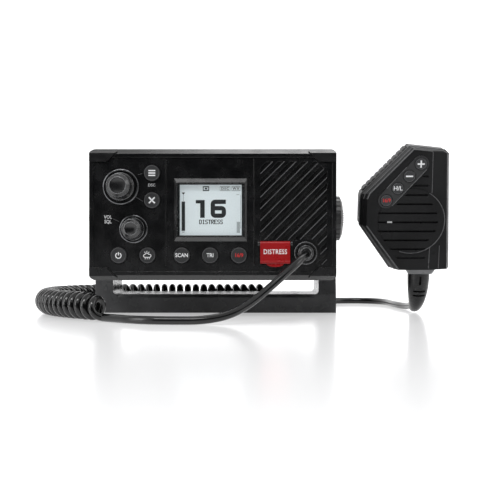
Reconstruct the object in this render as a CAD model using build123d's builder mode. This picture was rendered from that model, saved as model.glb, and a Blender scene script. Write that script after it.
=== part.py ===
from build123d import *
from math import atan2, cos, degrees, pi, radians, sin, tan
import os

# A fixed-mount marine VHF radio with its tilting bracket, its fist microphone and the curly
# cord between them, standing on a flat surface. Millimetres. The origin is the middle of the
# bracket's foot, +X is to the right of the radio's face, +Y is away from it and +Z is up.

# ---------------------------------------------------------------- driving dimensions
# Stance of the radio in its bracket
pivot_height = 67.0  # tilt axis above the surface
pivot_depth = 74.0  # tilt axis behind the face

# Front bezel
face_w, face_h, face_corner = 160.0, 85.5, 3.5
bezel_depth = 28.0  # from the face to the bezel's back edge
bezel_straight = 18.0  # depth at which the rear skirt starts to taper
skirt_w, skirt_h = face_w - 10.0, face_h - 7.0  # outline of the skirt's back edge
rim_proud = 0.8  # the rim stands this far in front of the face
rim_side, rim_top = 2.6, 5.7  # width of the rim beside and above the face
edge_chamfer, edge_chamfer_depth = 3.4, 4.6  # sloping band along the top and bottom
plate = 3.0  # thickness of the face plate
front_cavity_w, front_cavity_h = face_w - 8.0, face_h - 6.5
front_cavity_depth = 19.0  # the cavity narrows to the collar behind this depth
boss_x, boss_z, boss_r, boss_start = 67.0, 31.4, 3.8, 12.0  # towers for the case screws

# Corner caps
# slanting edge, from its inner to its outer end
cap_inner_x, cap_outer_x, cap_z = face_w / 2 - 11.5, face_w / 2 - 19.6, face_h / 2 - 8.45
cap_seat, cap_proud, cap_gap = 1.2, 0.45, 0.15  # pocket depth, height above the rim, seam

# Display
display_x, display_z = -1.4, 2.95  # middle of the picture
window_w, window_h = 44.0, 35.6
lens_gap, lens_thick = 0.15, 1.5
frame_w, frame_h, frame_open_w, frame_open_h = 47.4, 41.2, 42.8, 34.0
frame_proud, frame_inner_w, frame_inner_h = 1.6, 44.2, 35.4
module_w, module_h, module_thick = 50.0, 43.0, 4.5
panel_w, panel_h, panel_step = 41.4, 33.2, 1.2

# Knobs: (x, z), radii of the skirt, the grip's base and top, and the tip
channel_at, volume_at = (-59.6, 17.9), (-51.3, -9.5)
channel_radii, volume_radii = (8.9, 7.9, 7.3, 5.4), (7.2, 6.6, 5.9, 4.2)
knob_length, knob_gap, skirt_thick, knob_bevel = 13.4, 2.0, 1.6, 1.8
channel_collar, volume_collar = 11.6, 9.15  # outer radius of the raised ring round each knob
collar_w, collar_proud = 1.4, 0.8
dish_depth, dish_lip = 0.6, 0.6
shaft_r, shaft_play = 3.0, 0.05
bushing_r, bushing_front, bushing_gap = 4.5, 1.2, 0.25
encoder_side, encoder_gap = 12.0, 0.3
push_travel, plunger_r, plunger_thick = 0.5, 3.3, 1.4

# Keys on the face: node name to (x, z)
key_row_z = 16.25 - face_h / 2
keys = {
    "menu_key": (-39.4, 26.8),
    "cancel_key": (-39.4, 9.2),
    "power_key": (-61.0, key_row_z),
    "weather_key": (-42.3, key_row_z),
    "scan_key": (-20.1, key_row_z),
    "watch_key": (-1.7, key_row_z),
    "priority_key": (16.9, key_row_z),
}
key_r, key_gap, key_proud, key_tail, key_flange, key_flange_thick = 5.2, 0.3, 0.9, 6.0, 0.9, 0.9
key_edge = 0.5
switch_side, switch_top = 6.0, 6.9

# Boards
board_depth, board_thick = 10.0, 1.6
board_left, board_half_h, board_step_x = -72.0, face_h / 2 - 9.25, 28.0
board_right, board_step_z = 51.0, -14.5
posts = [(-70.0, -8.0), (-28.0, board_half_h - 2.5), (-9.5, 2.5 - board_half_h), (25.0, -21.5)]
post_r = 2.2

# Divider ribs and speaker grille
divider_x, divider_w, divider_proud = (-30.4, 26.7), 0.7, 0.35
divider_top, divider_bottom = face_h / 2 - 6.75, 9.75 - face_h / 2
grille_left, grille_right, grille_top, grille_bottom = 30.7, 74.0, face_h / 2 - 8.35, 26.05 - face_h / 2
grille_tail_left, grille_tail_bottom = 67.0, 10.15 - face_h / 2  # the strip beside the cord gland
grille_corner = 6.5  # cut at the upper right corner
groove_pitch, groove_w, groove_depth = 5.36, 2.5, 1.1
sound_slot_w = 1.1
speaker_x, speaker_z, speaker_r, speaker_depth, speaker_rim = 51.5, 9.0, 20.0, 22.0, 2.6
magnet_r, magnet_start = 12.5, 13.0
membrane_thick, sound_r = 0.4, 17.0

# Distress key under its hinged cover
cover_x, cover_top, cover_w, cover_h = 40.4, 25.45 - face_h / 2, 19.4, 14.6
cover_thick, cover_back = 1.3, 0.5  # the cover's back stands this far in front of the face
hinge_r, pin_r, pin_play = 1.6, 0.6, 0.05
pocket_gap, pocket_depth, pocket_pad, pad_thick = 0.4, 2.2, 3.2, 3.0
lip_w, lip_drop = 11.4, 2.1
ridge_out, ridge_top, ridge_low = 0.8, 1.9, 0.7  # finger ridge along the cover's lower edge
ear_thick, ear_gap = 1.3, 0.25
distress_z, distress_r, distress_front = cover_top - 8.3, 5.0, 0.6

# Cord gland on the face
gland_x, gland_z = 60.1, 17.75 - face_h / 2
gland_flange_r, gland_flange, gland_neck_r, gland_dome_r, gland_out = 7.5, 1.8, 4.4, 5.4, 6.5
gland_nut_r, gland_nut = 6.6, 3.0

# Rear chassis
chassis_w, chassis_h, chassis_end = 140.0, 68.0, 135.0
chassis_wall, chassis_back, notch = 3.0, 4.0, 7.6
gasket_thick, flange_thick, flange_w, flange_h = 1.0, 4.0, 143.0, 75.0
fin_count, fin_pitch, fin_thick, fin_depth, fin_bottom, fin_top = 15, 8.8, 2.4, 10.0, -5.0, 33.0
rib_count, rib_pitch, rib_thick, rib_height, rib_start = 11, 11.0, 1.8, 1.4, 38.0
insert_r, insert_length, insert_boss_r = 4.0, 9.0, 7.0
case_screw_r, case_screw_length, screw_head_r, screw_head = 1.5, 14.0, 2.9, 2.2
screw_play = 0.05

# Connectors on the back: (x, z)
antenna_at, power_at, data_at = (-42.0, -19.0), (4.0, -19.0), (46.0, -19.0)
antenna_r, antenna_length, connector_flange_r, connector_flange = 7.9, 15.0, 10.5, 2.0
power_r, power_length, power_bore = 6.5, 11.0, 3.2
data_r, data_length, data_wall = 6.0, 10.0, 1.0

# Main board
main_board_w, main_board_start, main_board_end, main_board_z = 118.0, 40.0, 126.0, -23.0
shield_w, shield_l, shield_h, shield_wall = 58.0, 46.0, 9.0, 0.8

# Bracket
leg_thick, washer_thick, washer_gap = 12.2, 2.1, 0.1
bracket_w = chassis_w + 2 * (washer_thick + washer_gap + leg_thick)
bracket_d, foot_h, foot_bevel = 50.0, 13.0, 2.2
leg_top_r, leg_fillet, foot_wall = 17.0, 3.0, 3.0
bracket_screw_dx, bracket_screw_dy, bracket_hole_r, bracket_boss_r = 112.0, 32.0, 2.3, 5.0
clamp_hole_r = 2.9

# Clamp knobs
stud_r, stud_reach, clamp_r, clamp_thick, clamp_gap = 2.5, 8.0, 16.0, 6.6, 0.2
clamp_tip_r, clamp_rim, clamp_disc, clamp_flutes, clamp_flute_r = 12.6, 4.2, 5.9, 24, 0.9
clamp_cap = 1.8  # material left over the end of the screw
bar_w, bar_l, bar_ridges, ridge_w = 11.0, 23.0, 6, 0.8
washer_r, washer_hole_r = 15.0, 6.0

# Fist microphone: its own plane has u to the right, v up its face and w out of its face
mic_x, mic_y, mic_z, mic_pitch = 126.0, -51.0, 30.0, 14.0
mic_face = [
    (18.0, 0.6), (17.4, 80.6), (16.0, 81.0), (5.0, 82.0),
    (-23.0, 52.6), (-24.5, 49.0), (-24.5, 31.0), (-1.8, 0.6),
]
mic_shoulder = [
    (31.0, 0.2), (27.5, 78.8), (25.0, 80.2), (4.4, 82.5),
    (-25.3, 51.8), (-26.4, 48.6), (-26.4, 30.4), (-4.4, 0.2),
]
mic_outline = [
    (33.5, 0.0), (30.0, 77.2), (27.0, 80.2), (3.5, 82.8),
    (-27.5, 51.0), (-28.2, 48.0), (-28.2, 30.0), (-7.0, 0.0),
]
shoulder_w, seam_w, back_edge_w, back_w, mic_wall, back_inset = -4.0, -10.0, -22.0, -27.0, 2.2, 4.0
dome_u, dome_v, dome_r, dome_top, dome_base = 5.3, 34.2, 22.0, 0.7, -6.5
slot_v, slot_pitch, slot_count, slot_w, slot_depth = 9.0, 6.13, 10, 1.25, 1.3
slot_area = [(15.4, 6.0), (15.4, 76.0), (-17.0, 44.0), (-17.0, 27.0), (-1.5, 6.0)]
slot_limit = [(-30.0, 36.0), (2.5, 72.3), (14.0, 90.0), (-30.0, 90.0)]  # no slots beyond this
mic_key_first, mic_key_last, mic_key_r = (-12.0, 48.2), (9.8, 72.5), 3.85
mic_key_names = ["mic_priority_key", "mic_level_key", "mic_minus_key", "mic_plus_key"]
mic_key_proud, mic_key_tail, mic_key_gap = 1.1, 7.0, 0.25
key_panel_w, key_panel_proud, key_panel_seat = 10.8, 0.5, 1.0
mic_bosses = [(22.5, 71.0), (22.5, 8.0), (-20.5, 40.0)]
mic_boss_r, mic_screw_r, mic_head_r, mic_head = 3.0, 1.2, 2.3, 2.0
mic_board = [
    (26.0, 7.0), (26.0, 74.5), (10.0, 76.0), (-19.0, 46.5),
    (-24.0, 42.0), (-24.0, 33.0), (-7.0, 7.0),
]
mic_board_w, mic_board_thick, mic_switch = -11.0, 1.6, 3.1
mic_speaker_r, mic_speaker_depth = 14.0, 6.0
stud_u, stud_v, stud_neck_r, stud_head_r, stud_neck, stud_head = 1.0, 40.0, 4.5, 8.5, 4.0, 2.5
lever_length, lever_w, lever_middle_w, lever_proud, lever_inside = 40.0, 9.2, -17.2, 0.9, 4.0
lever_gap, lever_ridges, lever_groove, lever_groove_w = 0.5, 9, 0.6, 1.2
collar_u, collar_axis_w, collar_drop = 13.9, -13.0, 3.7
collar_top, collar_bottom, stem_r, stem_in = (20.6, 19.0), (17.0, 16.0), 5.4, 5.0
# Cable boot sections: u, v, w, turn of the axis from straight down towards the back, radius
boot = [
    (collar_u, -3.7, -13.0, 0.0, 7.4),
    (collar_u, -13.0, -13.0, 0.0, 7.2),
    (collar_u, -21.5, -14.6, 24.0, 6.2),
    (collar_u, -29.3, -19.4, 52.0, 4.7),
    (collar_u, -33.4, -27.0, 76.0, 3.4),
]
# Relief slots in the boot's front: (v, width, height, w of the slot's floor)
boot_slots = [(-8.6, 1.6, 6.0, -9.0), (-16.6, 8.0, 1.3, -10.0), (-19.8, 8.0, 1.3, -11.0)]

# Cord
cord_d = 5.0
coil_d = 18.0  # outside of the curly cord
coil_z = 9.2
front_route = [
    (60.1, -80.5, 42.0), (60.1, -88.5, 42.0), (58.2, -97.0, 40.4), (53.6, -103.6, 36.4),
    (47.0, -108.0, 30.6), (36.5, -113.0, 21.6), (25.0, -119.0, 12.2), (12.5, -126.0, 5.4),
    (-3.0, -131.0, 2.7), (-20.0, -131.0, 2.6), (-36.0, -128.6, 2.6), (-48.0, -122.0, 2.6),
    (-56.3, -114.2, 2.6), (-66.0, -105.5, 2.6),
]
coil_route = [
    (-66.0, -105.5), (-80.0, -93.0), (-94.0, -78.0), (-106.0, -61.5), (-113.5, -44.0),
    (-117.6, -22.0), (-115.3, -0.1), (-105.7, 19.7), (-89.8, 34.9), (-69.7, 43.9),
    (-45.7, 46.4), (-14.0, 41.2), (14.0, 42.5), (38.0, 42.5),
]
rear_route = [
    (38.0, 42.5, 2.6), (49.0, 42.5, 2.6), (60.0, 46.5, 2.6), (70.0, 55.5, 2.6),
    (79.0, 67.0, 2.6), (89.0, 77.5, 2.6), (101.0, 84.0, 2.6), (113.0, 84.2, 2.6),
    (123.5, 79.0, 2.6), (130.5, 69.5, 2.6), (133.3, 57.5, 2.6), (134.0, 42.0, 2.6),
    (135.6, 25.0, 2.6), (138.8, 9.0, 2.6),
]
boot_lead = 10.0  # straight stretch of cord behind the microphone's boot

# ---------------------------------------------------------------- shared planes and helpers
os.makedirs("parts", exist_ok=True)
face = Plane(origin=(0, -pivot_depth, pivot_height), x_dir=(1, 0, 0), z_dir=(0, -1, 0))
pivot = Axis((0, 0, pivot_height), (1, 0, 0))
leg_inner = bracket_w / 2 - leg_thick
chassis_side = chassis_w / 2
chassis_start = bezel_depth + gasket_thick
lean = radians(mic_pitch)
mic = Plane(origin=(mic_x, mic_y, mic_z), x_dir=(1, 0, 0), z_dir=(0, -cos(lean), -sin(lean)))


def save(builder, name):
    """Labels a finished piece and writes its file."""
    builder.part.label = name
    export_step(builder.part, f"parts/{name}.step")


def at_depth(depth):
    """The plane that lies this far behind the radio's face, facing outwards."""
    return face.offset(-depth)


def turned_profile(x, z):
    """Plane and axis for revolving a profile of (radius, height in front of the face)."""
    origin = (x, -pivot_depth, pivot_height + z)
    return Plane(origin=origin, x_dir=(1, 0, 0), z_dir=(0, 0, -1)), Axis(origin, (0, -1, 0))


def side_plane(x):
    """Plane across the face at x, facing left, with (height in front of the face, z)."""
    return Plane(origin=(x, -pivot_depth, pivot_height), x_dir=(0, -1, 0), z_dir=(-1, 0, 0))


def bezel_side(extra=0.0):
    """Side outline of the bezel, as (y, z), standing out by extra at the front."""
    half, front = face_h / 2 + extra, rim_proud + extra
    upper = [
        (-front, half - edge_chamfer),
        (edge_chamfer_depth - rim_proud, half),
        (bezel_straight, half),
        (bezel_depth, skirt_h / 2),
    ]
    points = upper + [(y, -z) for y, z in reversed(upper)]
    return [(y - pivot_depth, z + pivot_height) for y, z in points]


def bezel_plan():
    """Plan outline of the bezel, as (x, y)."""
    half = face_w / 2
    side = [(half, -rim_proud - 1), (half, bezel_straight), (skirt_w / 2, bezel_depth)]
    points = side + [(-x, y) for x, y in reversed(side)]
    return [(x, y - pivot_depth) for x, y in points]


def cap_outline(grow=0.0):
    """Outline of the upper right corner cap on the face."""
    top, right = face_h / 2 + 1, face_w / 2 + 1
    slope = (cap_inner_x - cap_outer_x) / (face_h / 2 - cap_z)
    return [
        (cap_inner_x - grow, cap_z - grow),
        (right, cap_z - grow),
        (right, top),
        (cap_outer_x - slope - grow, top),
    ]


def each_corner():
    """The signs of x and z at the four corners of the face."""
    return [(sx, sz) for sx in (1, -1) for sz in (1, -1)]


# ---------------------------------------------------------------- front bezel
recess_x, recess_z = face_w / 2 - rim_side, face_h / 2 - rim_top
pocket_top = cover_top + pocket_gap
hinge_z, hinge_out = cover_top - hinge_r, cover_back + cover_thick - hinge_r
bushing_hole_r = bushing_r + bushing_gap
groove_rows = 24

with BuildSketch() as grille_field:
    with BuildLine():
        Polyline(
            (grille_left, grille_top),
            (grille_right - grille_corner, grille_top),
            (grille_right, grille_top - grille_corner),
            (grille_right, grille_tail_bottom),
            (grille_tail_left, grille_tail_bottom),
            (grille_tail_left, grille_bottom),
            (grille_left, grille_bottom),
            close=True,
        )
    make_face()
    with Locations((gland_x, gland_z)):
        Circle(gland_flange_r + 2.0, mode=Mode.SUBTRACT)

with BuildSketch() as grooves:
    with Locations(Location((speaker_x, 0, 0), (0, 0, 45))):
        with GridLocations(0, groove_pitch, 1, groove_rows):
            Rectangle(2 * face_w, groove_w)
    add(grille_field.sketch, mode=Mode.INTERSECT)

with BuildSketch() as sound_slots:
    with Locations(Location((speaker_x, 0, 0), (0, 0, 45))):
        with GridLocations(0, groove_pitch, 1, groove_rows):
            Rectangle(2 * face_w, sound_slot_w)
    with Locations((speaker_x, speaker_z)):
        Circle(sound_r, mode=Mode.INTERSECT)

with BuildPart() as front_bezel:
    with BuildSketch(at_depth(bezel_depth)):
        RectangleRounded(face_w, face_h, face_corner)
    extrude(amount=bezel_depth + rim_proud)
    with BuildSketch(Plane.YZ):
        Polygon(*bezel_side(), align=None)
    extrude(amount=face_w, both=True, mode=Mode.INTERSECT)
    with BuildSketch(Plane.XY):
        Polygon(*bezel_plan(), align=None)
    extrude(amount=2 * (pivot_height + face_h), both=True, mode=Mode.INTERSECT)
    # The face lies below the rim, and its corners stay under the caps.
    with BuildSketch(face):
        Rectangle(2 * recess_x, 2 * recess_z)
        for sx, sz in each_corner():
            Polygon(*[(sx * x, sz * z) for x, z in cap_outline()], align=None, mode=Mode.SUBTRACT)
    extrude(amount=rim_proud, mode=Mode.SUBTRACT)
    # Pockets that the corner caps sit in
    with BuildSketch(at_depth(cap_seat)):
        for sx, sz in each_corner():
            Polygon(*[(sx * x, sz * z) for x, z in cap_outline(cap_gap)], align=None)
    extrude(amount=cap_seat + rim_proud, mode=Mode.SUBTRACT)
    # Cavity and rear collar
    with BuildSketch(at_depth(front_cavity_depth)):
        RectangleRounded(front_cavity_w, front_cavity_h, 2)
    extrude(amount=front_cavity_depth - plate, mode=Mode.SUBTRACT)
    with BuildSketch(at_depth(bezel_depth)):
        Rectangle(chassis_w, chassis_h)
    extrude(amount=bezel_depth - front_cavity_depth, mode=Mode.SUBTRACT)
    # Screw towers and board posts
    with BuildSketch(at_depth(bezel_depth)):
        with GridLocations(2 * boss_x, 2 * boss_z, 2, 2):
            Circle(boss_r)
    extrude(amount=bezel_depth - boss_start)
    with BuildSketch(at_depth(bezel_depth)):
        with GridLocations(2 * boss_x, 2 * boss_z, 2, 2):
            Circle(case_screw_r + screw_play)
    extrude(amount=bezel_depth - boss_start - 1, mode=Mode.SUBTRACT)
    with BuildSketch(at_depth(board_depth)):
        with Locations(*posts):
            Circle(post_r)
    extrude(amount=board_depth - plate)
    # Pad behind the distress pocket
    with BuildSketch(at_depth(plate + pad_thick)):
        with Locations((cover_x, cover_top - cover_h / 2)):
            Rectangle(cover_w + 2 * pocket_pad, cover_h + 2 * pocket_gap)
    extrude(amount=pad_thick)
    # Raised details on the face
    with BuildSketch(face):
        for place, radius in ((channel_at, channel_collar), (volume_at, volume_collar)):
            with Locations(place):
                Circle(radius)
                Circle(radius - collar_w, mode=Mode.SUBTRACT)
    extrude(amount=collar_proud)
    with BuildSketch(face):
        with Locations(*[(x, (divider_top + divider_bottom) / 2) for x in divider_x]):
            Rectangle(divider_w, divider_top - divider_bottom)
    extrude(amount=divider_proud)
    # Grille grooves with sound slots through their floors
    with BuildSketch(at_depth(groove_depth)):
        add(grooves.sketch)
    extrude(amount=groove_depth, mode=Mode.SUBTRACT)
    with BuildSketch(at_depth(plate)):
        add(sound_slots.sketch)
    extrude(amount=plate, mode=Mode.SUBTRACT)
    # Openings through the plate
    with BuildSketch(at_depth(plate)):
        with Locations((display_x, display_z)):
            Rectangle(window_w, window_h)
        with Locations(channel_at, volume_at):
            Circle(bushing_hole_r)
        with Locations(*keys.values()):
            Circle(key_r + key_gap)
        with Locations((gland_x, gland_z)):
            Circle(gland_neck_r)
    extrude(amount=plate, mode=Mode.SUBTRACT)
    # Distress pocket, its key hole and the hinge ears
    with BuildSketch(at_depth(pocket_depth)):
        with Locations((cover_x, pocket_top)):
            Rectangle(
                cover_w + 2 * pocket_gap,
                cover_h + 2 * pocket_gap,
                align=(Align.CENTER, Align.MAX),
            )
    extrude(amount=pocket_depth, mode=Mode.SUBTRACT)
    with BuildSketch(at_depth(plate + pad_thick)):
        with Locations((cover_x, distress_z)):
            Circle(distress_r + key_gap)
    extrude(amount=plate + pad_thick, mode=Mode.SUBTRACT)
    for side in (1, -1):
        ear_x = cover_x + side * (cover_w / 2 + ear_gap + ear_thick / 2)
        with BuildSketch(side_plane(ear_x + ear_thick / 2)):
            with Locations((hinge_out, hinge_z)):
                Circle(hinge_r)
                Rectangle(hinge_out + 1, 2 * hinge_r, align=(Align.MAX, Align.CENTER))
        extrude(amount=ear_thick)
        with BuildSketch(side_plane(ear_x + ear_thick / 2)):
            with Locations((hinge_out, hinge_z)):
                Circle(pin_r + pin_play)
        extrude(amount=ear_thick, mode=Mode.SUBTRACT)
save(front_bezel, "front_bezel")

# ---------------------------------------------------------------- corner caps
with BuildPart() as corner_caps:
    with BuildSketch(at_depth(cap_seat)):
        RectangleRounded(face_w, face_h, face_corner)
        with BuildSketch(mode=Mode.PRIVATE) as cap_shapes:
            for sx, sz in each_corner():
                Polygon(*[(sx * x, sz * z) for x, z in cap_outline()], align=None)
        add(cap_shapes.sketch, mode=Mode.INTERSECT)
    extrude(amount=cap_seat + rim_proud + cap_proud)
    with BuildSketch(Plane.YZ):
        Polygon(*bezel_side(cap_proud), align=None)
    extrude(amount=face_w, both=True, mode=Mode.INTERSECT)
save(corner_caps, "corner_caps")

# ---------------------------------------------------------------- display
with BuildPart() as display_frame:
    with BuildSketch(face):
        with Locations((display_x, display_z)):
            Rectangle(frame_w, frame_h)
    with BuildSketch(face.offset(frame_proud)):
        with Locations((display_x, display_z)):
            Rectangle(frame_inner_w, frame_inner_h)
    loft()
    with BuildSketch(face):
        with Locations((display_x, display_z)):
            Rectangle(frame_open_w, frame_open_h)
    extrude(amount=frame_proud, mode=Mode.SUBTRACT)
save(display_frame, "display_frame")

with BuildPart() as display_lens:
    with BuildSketch(at_depth(lens_thick)):
        with Locations((display_x, display_z)):
            Rectangle(window_w - 2 * lens_gap, window_h - 2 * lens_gap)
    extrude(amount=lens_thick)
save(display_lens, "display_lens")

with BuildPart() as display_module:
    with BuildSketch(at_depth(plate + module_thick)):
        with Locations((display_x, display_z)):
            Rectangle(module_w, module_h)
    extrude(amount=module_thick)
    with BuildSketch(at_depth(plate)):
        with Locations((display_x, display_z)):
            Rectangle(panel_w, panel_h)
    extrude(amount=panel_step)
save(display_module, "display_module")

# ---------------------------------------------------------------- knobs and their encoders
knob_sets = {"channel": (channel_at, channel_radii), "volume": (volume_at, volume_radii)}
for control, ((x, z), (skirt, grip, grip_top, tip)) in knob_sets.items():
    profile, axis = turned_profile(x, z)
    tip_out = knob_gap + knob_length
    skirt_out = knob_gap + skirt_thick
    bore = shaft_r + 0.02
    shaft_out = tip_out - 3.0
    shaft_in = board_depth - plunger_thick - push_travel - 0.6
    dish_r = tip - dish_lip

    with BuildPart() as knob:
        with BuildSketch(profile):
            with BuildLine():
                Polyline(
                    (bore, knob_gap),
                    (bore, shaft_out),
                    (0, shaft_out),
                    (0, tip_out - dish_depth),
                )
                ThreePointArc(
                    (0, tip_out - dish_depth),
                    (dish_r * 0.6, tip_out - 0.64 * dish_depth),
                    (dish_r, tip_out),
                )
                Polyline(
                    (dish_r, tip_out),
                    (tip, tip_out),
                    (grip_top, tip_out - knob_bevel),
                    (grip, skirt_out + 0.4),
                    (skirt - 0.4, skirt_out),
                    (skirt, skirt_out - 0.4),
                    (skirt, knob_gap),
                    (bore, knob_gap),
                )
            make_face()
        revolve(axis=axis)
    save(knob, f"{control}_knob")

    with BuildPart() as shaft:
        with BuildSketch(at_depth(shaft_in)):
            with Locations((x, z)):
                Circle(shaft_r)
        extrude(amount=shaft_in + shaft_out)
    save(shaft, f"{control}_shaft")

    with BuildPart() as plunger:
        with BuildSketch(at_depth(shaft_in + plunger_thick)):
            with Locations((x, z)):
                Circle(plunger_r)
        extrude(amount=plunger_thick)
    save(plunger, f"{control}_plunger")

    with BuildPart() as encoder:
        with BuildSketch(at_depth(board_depth)):
            with Locations((x, z)):
                Rectangle(encoder_side, encoder_side)
        extrude(amount=board_depth - plate - encoder_gap)
        with BuildSketch(at_depth(board_depth)):
            with Locations((x, z)):
                Circle(bushing_r)
        extrude(amount=board_depth + bushing_front)
        with BuildSketch(at_depth(board_depth)):
            with Locations((x, z)):
                Circle(shaft_r + shaft_play)
        extrude(amount=board_depth + bushing_front, mode=Mode.SUBTRACT)
        with BuildSketch(at_depth(board_depth)):
            with Locations((x, z)):
                Circle(plunger_r + 0.2)
        extrude(amount=board_depth - shaft_in, mode=Mode.SUBTRACT)
    save(encoder, f"{control}_encoder")

# ---------------------------------------------------------------- keys on the face
for name, (x, z) in keys.items():
    with BuildPart() as key:
        with BuildSketch(at_depth(key_tail)):
            with Locations((x, z)):
                Circle(key_r)
        extrude(amount=key_tail + key_proud)
        fillet(key.faces().sort_by(Axis.Y)[0].edges(), key_edge)
        with BuildSketch(at_depth(plate + key_flange_thick)):
            with Locations((x, z)):
                Circle(key_r + key_gap + key_flange)
        extrude(amount=key_flange_thick)
    save(key, name)

# ---------------------------------------------------------------- distress cover and key
cover_side = side_plane(cover_x + cover_w / 2)
cover_bottom = cover_top - cover_h
with BuildPart() as distress_cover:
    with BuildSketch(cover_side):
        with BuildLine():
            Polyline(
                (cover_back, hinge_z),
                (cover_back + cover_thick, hinge_z),
                (cover_back + cover_thick, cover_bottom + ridge_top),
                (cover_back + cover_thick + ridge_out, cover_bottom + ridge_top - 0.3),
                (cover_back + cover_thick + ridge_out, cover_bottom + ridge_low),
                (cover_back + cover_thick, cover_bottom),
                (cover_back, cover_bottom),
                close=True,
            )
        make_face()
        with Locations((hinge_out, hinge_z)):
            Circle(hinge_r)
    extrude(amount=cover_w)
    with BuildSketch(face.offset(cover_back)):
        with Locations((cover_x, cover_bottom)):
            Ellipse(lip_w / 2, lip_drop)
    extrude(amount=cover_thick * 0.7)
    with BuildSketch(cover_side):
        with Locations((hinge_out, hinge_z)):
            Circle(pin_r + pin_play)
    extrude(amount=cover_w, mode=Mode.SUBTRACT)
save(distress_cover, "distress_cover")

pin_length = cover_w + 2 * (ear_gap + ear_thick)
with BuildPart() as distress_pin:
    with BuildSketch(cover_side.offset(-(ear_gap + ear_thick))):
        with Locations((hinge_out, hinge_z)):
            Circle(pin_r)
    extrude(amount=pin_length)
save(distress_pin, "distress_pin")

distress_back = plate + pad_thick
with BuildPart() as distress_key:
    with BuildSketch(at_depth(distress_back + 1.4)):
        with Locations((cover_x, distress_z)):
            Circle(distress_r)
    extrude(amount=distress_back + 1.4 - distress_front)
    fillet(distress_key.faces().sort_by(Axis.Y)[0].edges(), key_edge)
    with BuildSketch(at_depth(distress_back + key_flange_thick)):
        with Locations((cover_x, distress_z)):
            Circle(distress_r + key_gap + key_flange)
    extrude(amount=key_flange_thick)
save(distress_key, "distress_key")

# ---------------------------------------------------------------- control board and switches
with BuildPart() as control_board:
    with BuildSketch(at_depth(board_depth + board_thick)):
        with BuildLine():
            Polyline(
                (board_left, -board_half_h),
                (board_right, -board_half_h),
                (board_right, board_step_z),
                (board_step_x, board_step_z),
                (board_step_x, board_half_h),
                (board_left, board_half_h),
                close=True,
            )
        make_face()
    extrude(amount=board_thick)
save(control_board, "control_board")

with BuildPart() as tact_switches:
    with BuildSketch(at_depth(board_depth)):
        with Locations(*keys.values()):
            Rectangle(switch_side, switch_side)
    extrude(amount=1.6)
    with BuildSketch(at_depth(board_depth)):
        with Locations(*keys.values()):
            Circle(1.7)
    extrude(amount=board_depth - switch_top)
    with BuildSketch(at_depth(board_depth)):
        with Locations((cover_x, distress_z)):
            Rectangle(switch_side, switch_side)
    extrude(amount=1.2)
save(tact_switches, "tact_switches")

# ---------------------------------------------------------------- loudspeaker
with BuildPart() as speaker_membrane:
    with BuildSketch(at_depth(plate + membrane_thick)):
        with Locations((speaker_x, speaker_z)):
            Circle(speaker_r)
    extrude(amount=membrane_thick)
save(speaker_membrane, "speaker_membrane")

speaker_front = plate + membrane_thick
profile, axis = turned_profile(speaker_x, speaker_z)
with BuildPart() as main_speaker:
    with BuildSketch(profile):
        with BuildLine():
            Polyline(
                (0, -speaker_front - 6.0),
                (5.0, -speaker_front - 4.0),
                (speaker_r - 2.6, -speaker_front - 0.6),
                (speaker_r - 2.0, -speaker_front),
                (speaker_r, -speaker_front),
                (speaker_r, -speaker_front - speaker_rim),
                (speaker_r - 1.5, -speaker_front - speaker_rim),
                (magnet_r, -magnet_start),
                (magnet_r, -speaker_depth),
                (0, -speaker_depth),
                close=True,
            )
        make_face()
    revolve(axis=axis)
save(main_speaker, "main_speaker")

# ---------------------------------------------------------------- cord gland on the face
profile, axis = turned_profile(gland_x, gland_z)
with BuildPart() as cord_gland:
    with BuildSketch(profile):
        with BuildLine():
            Polyline(
                (0, -plate - gland_nut),
                (gland_nut_r, -plate - gland_nut),
                (gland_nut_r, -plate),
                (gland_neck_r, -plate),
                (gland_neck_r, 0),
                (gland_flange_r, 0),
                (gland_flange_r, gland_flange - 0.6),
                (gland_flange_r - 0.6, gland_flange),
                (gland_dome_r + 0.5, gland_flange),
                (gland_dome_r + 0.1, gland_flange - 0.5),
            )
            ThreePointArc(
                (gland_dome_r + 0.1, gland_flange - 0.5),
                (gland_dome_r - 0.7, gland_flange + 1.9),
                (cord_d / 2 + 1.0, gland_flange + 3.2),
            )
            Polyline(
                (cord_d / 2 + 1.0, gland_flange + 3.2),
                (cord_d / 2 + 0.7, gland_out),
                (0, gland_out),
                (0, -plate - gland_nut),
            )
        make_face()
    revolve(axis=axis)
save(cord_gland, "cord_gland")

# ---------------------------------------------------------------- rear chassis
with BuildSketch() as chassis_section:
    Rectangle(chassis_w, chassis_h)
    with GridLocations(chassis_w - notch, chassis_h - notch, 2, 2):
        Rectangle(notch, notch, mode=Mode.SUBTRACT)

with BuildSketch() as chassis_hollow:
    add(chassis_section.sketch)
    offset(amount=-chassis_wall, kind=Kind.INTERSECTION, mode=Mode.REPLACE)

side_boss = Plane(origin=(0, 0, pivot_height), x_dir=(0, 1, 0), z_dir=(1, 0, 0))
standoff_x, standoff_y = main_board_w / 2 - 5, (main_board_end - main_board_start) / 2 - 6
board_middle = (main_board_start + main_board_end) / 2 - pivot_depth
chassis_floor = pivot_height - chassis_h / 2 + chassis_wall
board_under = pivot_height + main_board_z

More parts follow.
